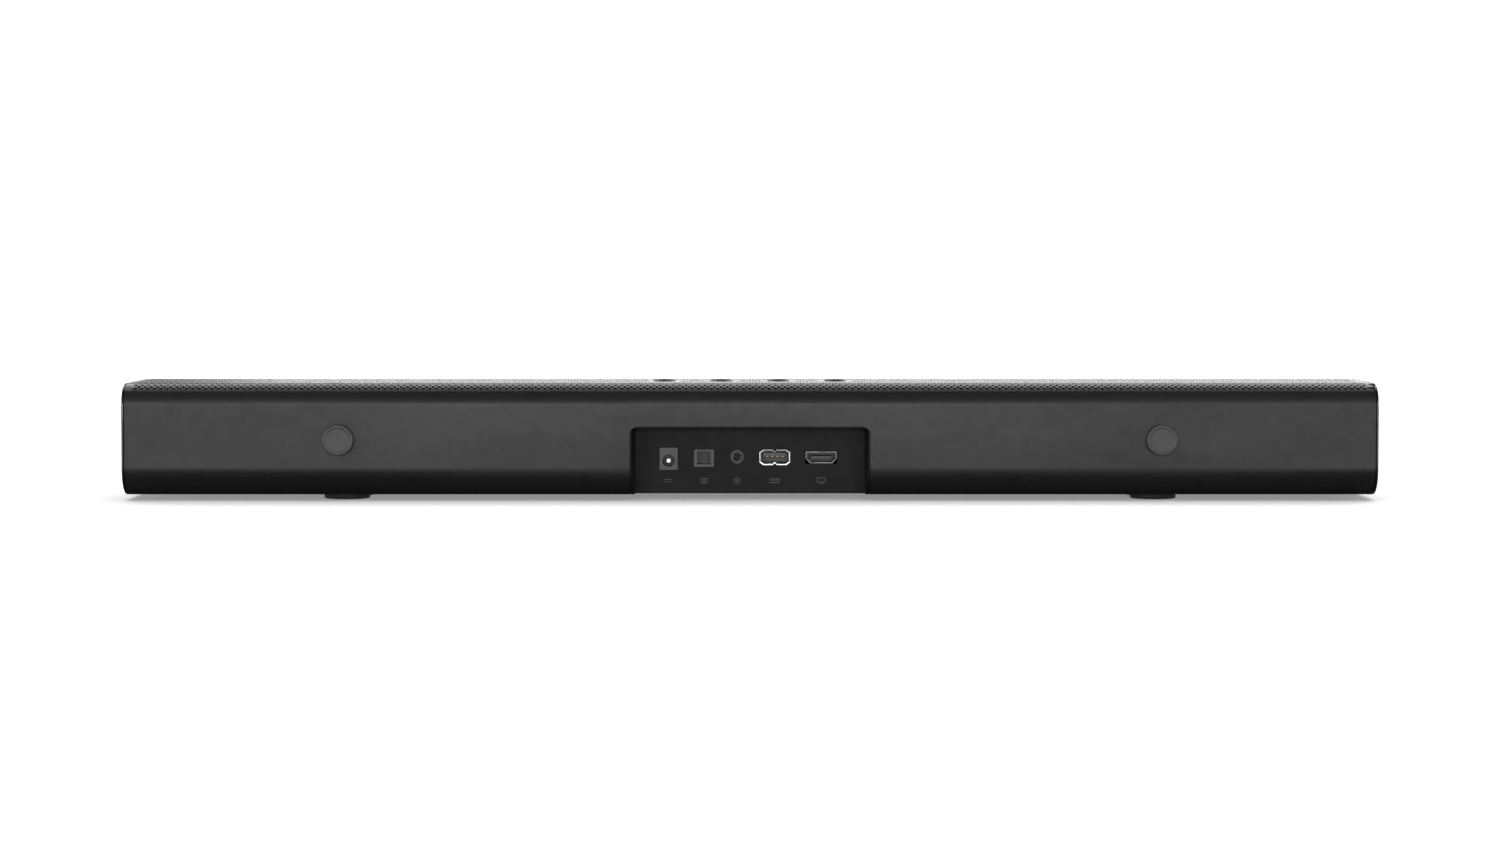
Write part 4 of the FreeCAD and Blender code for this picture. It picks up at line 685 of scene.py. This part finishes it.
def make_grille():
    """Perforated sheet in strips along X that meet edge to edge."""
    triangles = perforated_pattern()
    area = np.cross(triangles[:, 1] - triangles[:, 0], triangles[:, 2] - triangles[:, 0])
    triangles[area > 0] = triangles[area > 0][:, ::-1]
    middle = triangles.mean(1)[:, 0]
    cuts = np.linspace(-BODY_END, BODY_END, GRILLE_STRIPS + 1)
    step = 2 * PERF_HALF
    for i in range(GRILLE_STRIPS):
        mine = (cell_place(middle, step) >= cuts[i]) & (cell_place(middle, step) < cuts[i + 1])
        flat, index = np.unique(np.round(triangles[mine].reshape(-1, 2), 8), axis=0, return_inverse=True)
        piece = solid_sheet(f"grille_strip_{i + 1}", flat, index.reshape(-1, 3), wrapped, GRILLE_SHEET)
        finish_piece(piece, "grille_steel", ROOT, "grille")


def cell_place(x, step):
    """x rounded to its lattice column, so that a strip's edge never cuts a hole."""
    return np.floor(x / step) * step


# ---- rear cover and port panel

COVER_NODES = ("left", "right", "over_bay", "underside")
WELD = 0.002 * MM
ON_JOINT = 0.004 * MM  # slack within which a point lies on the cover's joint
PANEL_RIM = 1.8 * MM
PANEL_FLANGE = 3 * MM  # the panel's reach past the bay's walls, behind the cover
RIM_REACH = 2.5 * MM  # how far inwards from the rim's inner face the taper acts
RIM_TAPER = 1.3 * MM
RIM_DEPTH = 3.0 * MM


def copied(*sources):
    """One mesh from copies of CAD nodes, welded where they meet."""
    joined = bmesh.new()
    for source in sources:
        joined.from_mesh(frame["nodes"][source].data)
    bmesh.ops.remove_doubles(joined, verts=joined.verts, dist=WELD)
    return joined


def finished_copy(name, edited, smooth=32):
    """Mesh piece from an edited copy."""
    mesh = bpy.data.meshes.new(name)
    edited.to_mesh(mesh)
    edited.free()
    mesh.shade_smooth()
    mesh.set_sharp_from_angle(angle=math.radians(smooth))
    keep_flats_flat(mesh, math.cos(math.radians(smooth)))
    piece = bpy.data.objects.new(name, mesh)
    bpy.context.scene.collection.objects.link(piece)
    return piece


def keep_flats_flat(mesh, limit):
    """Set corner normals weighted by face area, so large flats stay flat beside their rounded edges."""
    count = len(mesh.polygons)
    normals, areas = np.zeros(count * 3), np.zeros(count)
    mesh.polygons.foreach_get("normal", normals)
    mesh.polygons.foreach_get("area", areas)
    normals = normals.reshape(-1, 3)
    around = [[] for _ in mesh.vertices]
    for face in mesh.polygons:
        for vertex in face.vertices:
            around[vertex].append(face.index)
    corners = np.zeros((len(mesh.loops), 3))
    for face in mesh.polygons:
        for loop in face.loop_indices:
            beside = around[mesh.loops[loop].vertex_index]
            smooth = [f for f in beside if normals[f] @ normals[face.index] > limit]
            corners[loop] = (normals[smooth] * areas[smooth][:, None]).sum(0)
    lengths = np.linalg.norm(corners, axis=1)
    corners[lengths > 0] /= lengths[lengths > 0][:, None]
    mesh.normals_split_custom_set(corners.tolist())


def make_rear_cover():
    """The one-piece cover: its four CAD nodes joined, without the faces where they meet."""
    names = [f"rear_cover_{zone}" for zone in COVER_NODES]
    joined = copied(*names)
    inner = [
        f for f in joined.faces
        if any(all(abs(v.co.x - sign * COVER_JOINT) < ON_JOINT for v in f.verts) for sign in SIDES.values())
    ]
    bmesh.ops.delete(joined, geom=inner, context="FACES")
    finish_piece(finished_copy("rear_cover_moulding", joined), "cover_plastic", ROOT, *names)


def make_port_panel():
    """Port panel whose rim thins towards the rear face, as a drafted moulding's does."""
    tray = copied("port_panel")
    half, ceiling = (bay_high.x - bay_low.x) / 2, bay_high.z
    inner_half = half - PANEL_FLANGE - PANEL_RIM
    inner_ceiling = ceiling - PANEL_FLANGE - PANEL_RIM
    for vertex in tray.verts:
        x, y, z = vertex.co
        if y < REAR - RIM_DEPTH:
            continue
        rise = min(1, (y - (REAR - RIM_DEPTH)) / RIM_DEPTH) * RIM_TAPER
        if abs(x) <= inner_half + 0.05 * MM and z <= inner_ceiling + 0.05 * MM:
            if abs(x) > inner_half - RIM_REACH:
                vertex.co.x += math.copysign(rise, x)
            if z > inner_ceiling - RIM_REACH:
                vertex.co.z += rise
    finish_piece(finished_copy("port_tray", tray), "panel_plastic", ROOT, "port_panel")


# ---- end caps, feet and wall plugs

CAP_CROWN = 0.9 * MM
CAP_EDGE = 1.0 * MM
CAP_DEPTH = 2 * MM
CAP_CHAMFER = 0.15 * MM
CROWN_REACH = 24 * MM
CROWN_POWER = 2.6
SECTION_STEPS = 12
EDGE_STEPS = 6
CROWN_STEPS = 12


def section_ring(x, inset):
    """Ring of the housing's rounded section at x, drawn in by inset."""
    corners = [(FRONT, UNDER), (REAR, UNDER), (REAR, TOP), (FRONT, TOP)]
    radii = [FRONT_BOTTOM_ROUND, REAR_BOTTOM_ROUND, REAR_TOP_ROUND, FRONT_TOP_ROUND]
    inward = [(1, 1), (-1, 1), (-1, -1), (1, -1)]
    points = [(y + sy * inset, z + sz * inset) for (y, z), (sy, sz) in zip(corners, inward)]
    rounded = fillet(points, [max(r - inset, 0.4 * MM) for r in radii], SECTION_STEPS)
    return [(x, y, z) for y, z in rounded]


def make_end_caps():
    """Glossy caps: flat inner face, a tight rounded edge and a softly crowned outer face."""
    for side, sign in SIDES.items():
        low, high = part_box(f"end_cap_{side}")
        outer = max(abs(low.x), abs(high.x))
        inner = outer - CAP_DEPTH
        shoulder = outer - CAP_CROWN
        steps = [(inner, CAP_CHAMFER), (inner + CAP_CHAMFER, 0)]
        for k in range(EDGE_STEPS + 1):
            a = math.pi / 2 * k / EDGE_STEPS
            steps.append((shoulder - CAP_EDGE * (1 - math.sin(a)), CAP_EDGE * (1 - math.cos(a))))
        for k in range(1, CROWN_STEPS + 1):
            t = k / CROWN_STEPS
            steps.append((shoulder + CAP_CROWN * (1 - (1 - t) ** CROWN_POWER), CAP_EDGE + t * CROWN_REACH))
        rings = [section_ring(sign * x, inset) for x, inset in steps]
        piece = loft(f"end_cap_shell_{side}", rings, smooth=40)
        finish_piece(piece, "gloss_black", ROOT, f"end_cap_{side}")


def make_feet():
    """Rubber feet with a rounded tread edge, a groove and a shallow middle."""
    for row in ("front", "rear"):
        for side in SIDES:
            name = f"foot_{row}_{side}"
            low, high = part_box(name)
            centre = ((low.x + high.x) / 2, (low.y + high.y) / 2, 0)
            outline = [(0, 0.5), (5.2, 0.5), (5.6, 0), (7.6, 0), (7.9, 0.45), (8.5, 0.45), (8.8, 0),
                       (11.25, 0), (11.1, 2.5), (2.9, 2.5), (2.9, 3.9), (0, 3.9)]
            radii = [0, 0.2, 0.2, 0.15, 0.15, 0.15, 0.15, 0.8, 0.2, 0, 0.3, 0]
            profile = fillet(np.array(outline) * MM, np.array(radii) * MM, 5, closed=False)
            finish_piece(lathe(f"{name}_tread", profile, centre), "foot_rubber", ROOT, name)


def make_wall_plugs():
    """Rubber plugs: dished face inside a rounded rim, hollow skirt in the cover's pocket."""
    for side in SIDES:
        name = f"wall_plug_{side}"
        low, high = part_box(name)
        centre = ((low.x + high.x) / 2, REAR, MID_Z)
        outline = [(0, 3.8), (5.6, 3.8), (6.2, 4.0), (7.5, 4.0), (7.5, 0.03), (5.8, 0.03), (5.8, -3.7),
                   (3.5, -3.7), (3.5, 0.8), (0, 0.8)]
        radii = [0, 1.0, 0.8, 0.9, 0.15, 0, 0.4, 0.2, 0.2, 0]
        profile = fillet(np.array(outline) * MM, np.array(radii) * MM, 6, closed=False)
        piece = lathe(f"{name}_rubber", profile, centre, axis="y", segments=96)
        finish_piece(piece, "plug_rubber", f"plug_{side}", name)


# ---- buttons

BUTTON_DECK = 3.8 * MM  # from the top down to the chassis deck under the buttons
SIGN_LINE = 0.42 * MM
SIGN_DROP = 0.1 * MM  # its face below the cap's rim
SIGN_THICKNESS = 0.2 * MM


def icon_strokes():
    """Line drawings of the generic control signs, in millimetres."""
    return {
        "power": [(arc_points((0, -0.2), 1.7, 120, 420), False), ([(0, 0.3), (0, 2.0)], False)],
        "source": [([(0.4, 1.6), (2.0, 1.6), (2.0, -1.6), (0.4, -1.6)], False),
                   ([(-2.1, 0), (0.7, 0)], False), ([(-0.2, 0.9), (0.7, 0), (-0.2, -0.9)], False)],
        "volume_down": [([(-1.8, 0), (1.8, 0)], False)],
        "volume_up": [([(-1.8, 0), (1.8, 0)], False), ([(0, -1.8), (0, -0.22)], False),
                      ([(0, 0.22), (0, 1.8)], False)],
    }


def make_buttons():
    """Round buttons with a bevelled edge and a shallow dish that holds a raised sign."""
    signs = icon_strokes()
    for name, x, y in button_spots():
        low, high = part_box(f"button_{name}")
        top, foot = high.z, low.z
        deck = TOP - BUTTON_DECK
        outline = [
            (0, top - 0.22 * MM), (3.4 * MM, top - 0.18 * MM), (4.3 * MM, top), (4.6 * MM, top),
            (5.8 * MM, top - 0.9 * MM), (5.8 * MM, deck - 0.1 * MM), (7.0 * MM, deck - 0.1 * MM),
            (7.0 * MM, deck - 1.3 * MM), (2.0 * MM, deck - 1.3 * MM), (2.0 * MM, foot), (0, foot),
        ]
        radii = np.array([0, 2, 0.5, 0.3, 0.4, 0, 0.1, 0.1, 0.2, 0.2, 0]) * MM
        profile = fillet(outline, radii, 5, closed=False)
        piece = lathe(f"button_cap_{name}", profile, (x, y, 0), segments=72)
        finish_piece(piece, "button_plastic", f"{name}_button", f"button_{name}")

        def on_cap(flat, depth):
            return np.stack([x + flat[:, 0], y + flat[:, 1], np.full(len(flat), top - SIGN_DROP - depth)], 1)

        sign = line_art(f"button_sign_{name}", signs[name], SIGN_LINE, on_cap, SIGN_THICKNESS)
        finish_piece(sign, "button_plastic", f"{name}_button", material=icon_grey)


# ---- sockets

def make_data_socket():
    """Bright pressed shell whose four flaps flare round the mouth, split in the middle above and below."""
    low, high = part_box("data_socket_shell")
    middle = ((low.x + high.x) / 2, (low.z + high.z) / 2)
    sheet, flare = 0.4 * MM, 0.8 * MM
    width, height = 13.3 * MM, 5.9 * MM
    mouth, back = high.y, low.y
    split, side_steps = 0.75 * MM, 28
    corner_fade = 0.07  # share of a side over which the flare fades towards each corner

    def ring(w, h, y, out):
        """Rectangle ring; out flares its sides, fading at the corners and at the splits."""
        points = []
        for sx, sz, run in (((-1, -1), (1, -1), "x"), ((1, -1), (1, 1), "z"), ((1, 1), (-1, 1), "x"),
                            ((-1, 1), (-1, -1), "z")):
            for k in range(side_steps):
                t = k / side_steps
                px = (sx[0] + (sz[0] - sx[0]) * t) * w / 2
                pz = (sx[1] + (sz[1] - sx[1]) * t) * h / 2
                edge = min(t, 1 - t)
                lift = out * min(1, edge / corner_fade)
                if run == "x":
                    if abs(px) < split:
                        lift = 0
                    pz += math.copysign(lift, pz)
                else:
                    px += math.copysign(lift, px)
                points.append((middle[0] + px, y, middle[1] + pz))
        return points

    profile = [(back, 0.0), (mouth - 1.3 * MM, 0.0), (mouth - 0.8 * MM, 0.12), (mouth - 0.35 * MM, 0.5),
               (mouth, 1.0)]
    rings = [ring(width, height, y, flare * out) for y, out in profile]
    inner_w, inner_h = width - 2 * sheet, height - 2 * sheet
    rings += [ring(inner_w, inner_h, y - 0.02 * MM * (i == 0), flare * out)
              for i, (y, out) in enumerate(reversed(profile))]
    piece = loft("data_socket_flared_shell", rings, looped=True, smooth=28)
    finish_piece(piece, "bright_steel", ROOT, "data_socket_shell")


def make_audio_contact():
    """Springy ring contact seen inside the audio jack's mouth."""
    low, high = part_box("audio_jack")
    centre = ((low.x + high.x) / 2, high.y - 3.2 * MM, (low.z + high.z) / 2)
    ring = [(1.80, 0), (1.80, 1.6), (1.62, 1.4), (1.55, 0.8), (1.62, 0.2)]
    profile = fillet(np.array(ring) * MM, np.array([0.02, 0.02, 0.1, 0.3, 0.1]) * MM, 3)
    piece = lathe("audio_contact_ring", profile, centre, axis="y", segments=48, ring=True)
    finish_piece(piece, "brass", ROOT)


BAY_DEPTH = 21 * MM
PORT_SIGN_RISE = 6.2 * MM
PORT_SIGN_LINE = 0.28 * MM
PORT_SIGN_PROUD = 0.05 * MM
PORT_SIGN_THICKNESS = 0.08 * MM


def port_signs():
    """Generic pictograms under the sockets: line drawings in millimetres, by CAD node."""
    square = [(-1.5, -1.1), (1.5, -1.1), (1.5, 1.1), (-1.5, 1.1)]
    return {
        "dc_jack": [([(-1.7, 0.6), (1.7, 0.6)], False), ([(-1.7, -0.5), (-0.9, -0.5)], False),
                    ([(-0.4, -0.5), (0.4, -0.5)], False), ([(0.9, -0.5), (1.7, -0.5)], False)],
        "optical_jack": [(square, True), (arc_points((0, 0), 0.45, 0, 340), True)],
        "audio_jack": [(arc_points((0, 0), 1.4, 0, 345, 24), True),
                       (arc_points((0, 0), 0.4, 0, 330, 12), True)],
        "data_socket_shell": [([(-2.2, -0.9), (2.2, -0.9), (2.2, 0.9), (-2.2, 0.9)], True),
                              ([(-1.4, 0.25), (1.4, 0.25)], False)],
        "video_socket_shell": [([(-2.0, -0.6), (2.0, -0.6), (2.0, 1.4), (-2.0, 1.4)], True),
                               ([(-1.0, -1.3), (1.0, -1.3)], False)],
    }


def make_port_signs():
    """Raised pictograms on the panel's face, below each socket."""
    face = REAR - BAY_DEPTH
    for node, strokes in port_signs().items():
        low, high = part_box(node)
        x, z = (low.x + high.x) / 2, UNDER + PORT_SIGN_RISE

        def on_panel(flat, depth):
            y = np.full(len(flat), face + PORT_SIGN_PROUD - depth)
            return np.stack([x - flat[:, 0], y, z + flat[:, 1]], 1)

        piece = line_art(f"sign_{node}", strokes, PORT_SIGN_LINE, on_panel, PORT_SIGN_THICKNESS)
        finish_piece(piece, "panel_plastic", ROOT, material=print_grey)


# ---- studio

def area_light(name, place, target, size, radiance, glossy=True):
    """Soft rectangular light of a given radiance, aimed at a target and unseen by the camera."""
    light = bpy.data.lights.new(name, "AREA")
    light.shape = "RECTANGLE"
    light.size, light.size_y = size
    light.energy = radiance * size[0] * size[1] * math.pi
    lamp = bpy.data.objects.new(name, light)
    lamp.location = place
    lamp.rotation_euler = (Vector(target) - Vector(place)).to_track_quat("-Z", "Y").to_euler()
    lamp.visible_camera = False
    lamp.visible_glossy = glossy
    bpy.context.scene.collection.objects.link(lamp)


def make_studio():
    """White sweep, a sky with a bright horizon and side cards, and softboxes all round.

    The floor and the overhead light are left out of reflections.
    """
    bpy.context.scene.view_settings.view_transform = "Standard"
    extent = 12.0
    corners = [(-extent, -extent, 0), (extent, -extent, 0), (extent, extent, 0), (-extent, extent, 0)]
    floor = mesh_object("studio_floor", corners, [(0, 1, 2, 3)])
    floor.data.materials.append(studio_floor("studio_floor"))
    floor.visible_glossy = False
    world = bpy.data.worlds.new("studio")
    bpy.context.scene.world = world
    world.use_nodes = True
    tree = world.node_tree
    background = tree.nodes["Background"]
    direction = tree.nodes.new("ShaderNodeTexCoord")
    split = tree.nodes.new("ShaderNodeSeparateXYZ")
    tree.links.new(direction.outputs["Generated"], split.inputs["Vector"])
    height = tree.nodes.new("ShaderNodeMapRange")
    height.inputs["From Min"].default_value = -1.0
    tree.links.new(split.outputs["Z"], height.inputs["Value"])
    ramp = tree.nodes.new("ShaderNodeValToRGB")
    stops = ramp.color_ramp.elements
    levels = [(0.0, 0.0), (0.40, 0.02), (0.46, 1.1), (0.54, 1.1), (0.59, 0.35), (1.0, 0.08)]
    while len(stops) < len(levels):
        stops.new(0.5)
    for stop, (position, level) in zip(stops, levels):
        stop.position, stop.color = position, (level, level, level, 1)
    tree.links.new(height.outputs["Result"], ramp.inputs["Fac"])
    sideways = tree.nodes.new("ShaderNodeMath")
    sideways.operation = "ABSOLUTE"
    tree.links.new(split.outputs["X"], sideways.inputs[0])
    cards = tree.nodes.new("ShaderNodeMath")
    cards.operation = "MULTIPLY"
    tree.links.new(spread(tree, sideways.outputs["Value"], 0, 0.8, 0.40, 0.75), cards.inputs[0])
    tree.links.new(spread(tree, split.outputs["Z"], 0, 1, -0.60, -0.10), cards.inputs[1])
    sky = tree.nodes.new("ShaderNodeMix")
    sky.data_type, sky.blend_type = "RGBA", "LIGHTEN"
    sky.inputs["Factor"].default_value = 1.0
    tree.links.new(ramp.outputs["Color"], sky.inputs["A"])
    below = tree.nodes.new("ShaderNodeMath")
    below.operation = "MULTIPLY"
    tree.links.new(cards.outputs["Value"], below.inputs[0])
    tree.links.new(spread(tree, split.outputs["Z"], 1, 0, 0.05, 0.35), below.inputs[1])
    tree.links.new(below.outputs["Value"], sky.inputs["B"])
    tree.links.new(sky.outputs["Result"], background.inputs["Color"])
    background.inputs["Strength"].default_value = 1.0
    target = (0, 0, 0.03)
    area_light("rear_softbox", (0.3, 2.7, 0.26), target, (3.6, 0.5), 4.0)
    area_light("top_softbox", (0, -1.15, 1.45), target, (3.4, 1.1), 2.7)
    area_light("front_softbox", (-0.9, -2.6, 0.75), target, (3.4, 1.0), 2.4)
    for side, sign in SIDES.items():
        area_light(f"{side}_softbox", (sign * 2.4, 0.25, 0.30), target, (0.9, 0.5), 5.0)
    area_light("overhead_softbox", (0, 0, 2.2), target, (3.2, 2.4), 1.6, glossy=False)


EYE_DISTANCE = 1.8  # behind the rear face
EYE_HEIGHT = 0.120  # over the housing's underside
EYE_TILT = 2.72  # degrees down
LENS = 89.5


def make_camera():
    """Long lens behind the bar, a little above its top and tilted slightly down."""
    data = bpy.data.cameras.new("camera")
    data.sensor_width = 36
    data.lens = LENS
    camera = bpy.data.objects.new("camera", data)
    camera.location = (0, REAR + EYE_DISTANCE, UNDER + EYE_HEIGHT)
    camera.rotation_euler = (math.radians(90 - EYE_TILT), 0, math.pi)
    bpy.context.scene.collection.objects.link(camera)
    bpy.context.scene.camera = camera


dress_cad_nodes()
make_rear_cover()
make_port_panel()
make_grille()
make_end_caps()
make_feet()
make_wall_plugs()
make_buttons()
make_data_socket()
make_audio_contact()
make_port_signs()
make_studio()
make_camera()
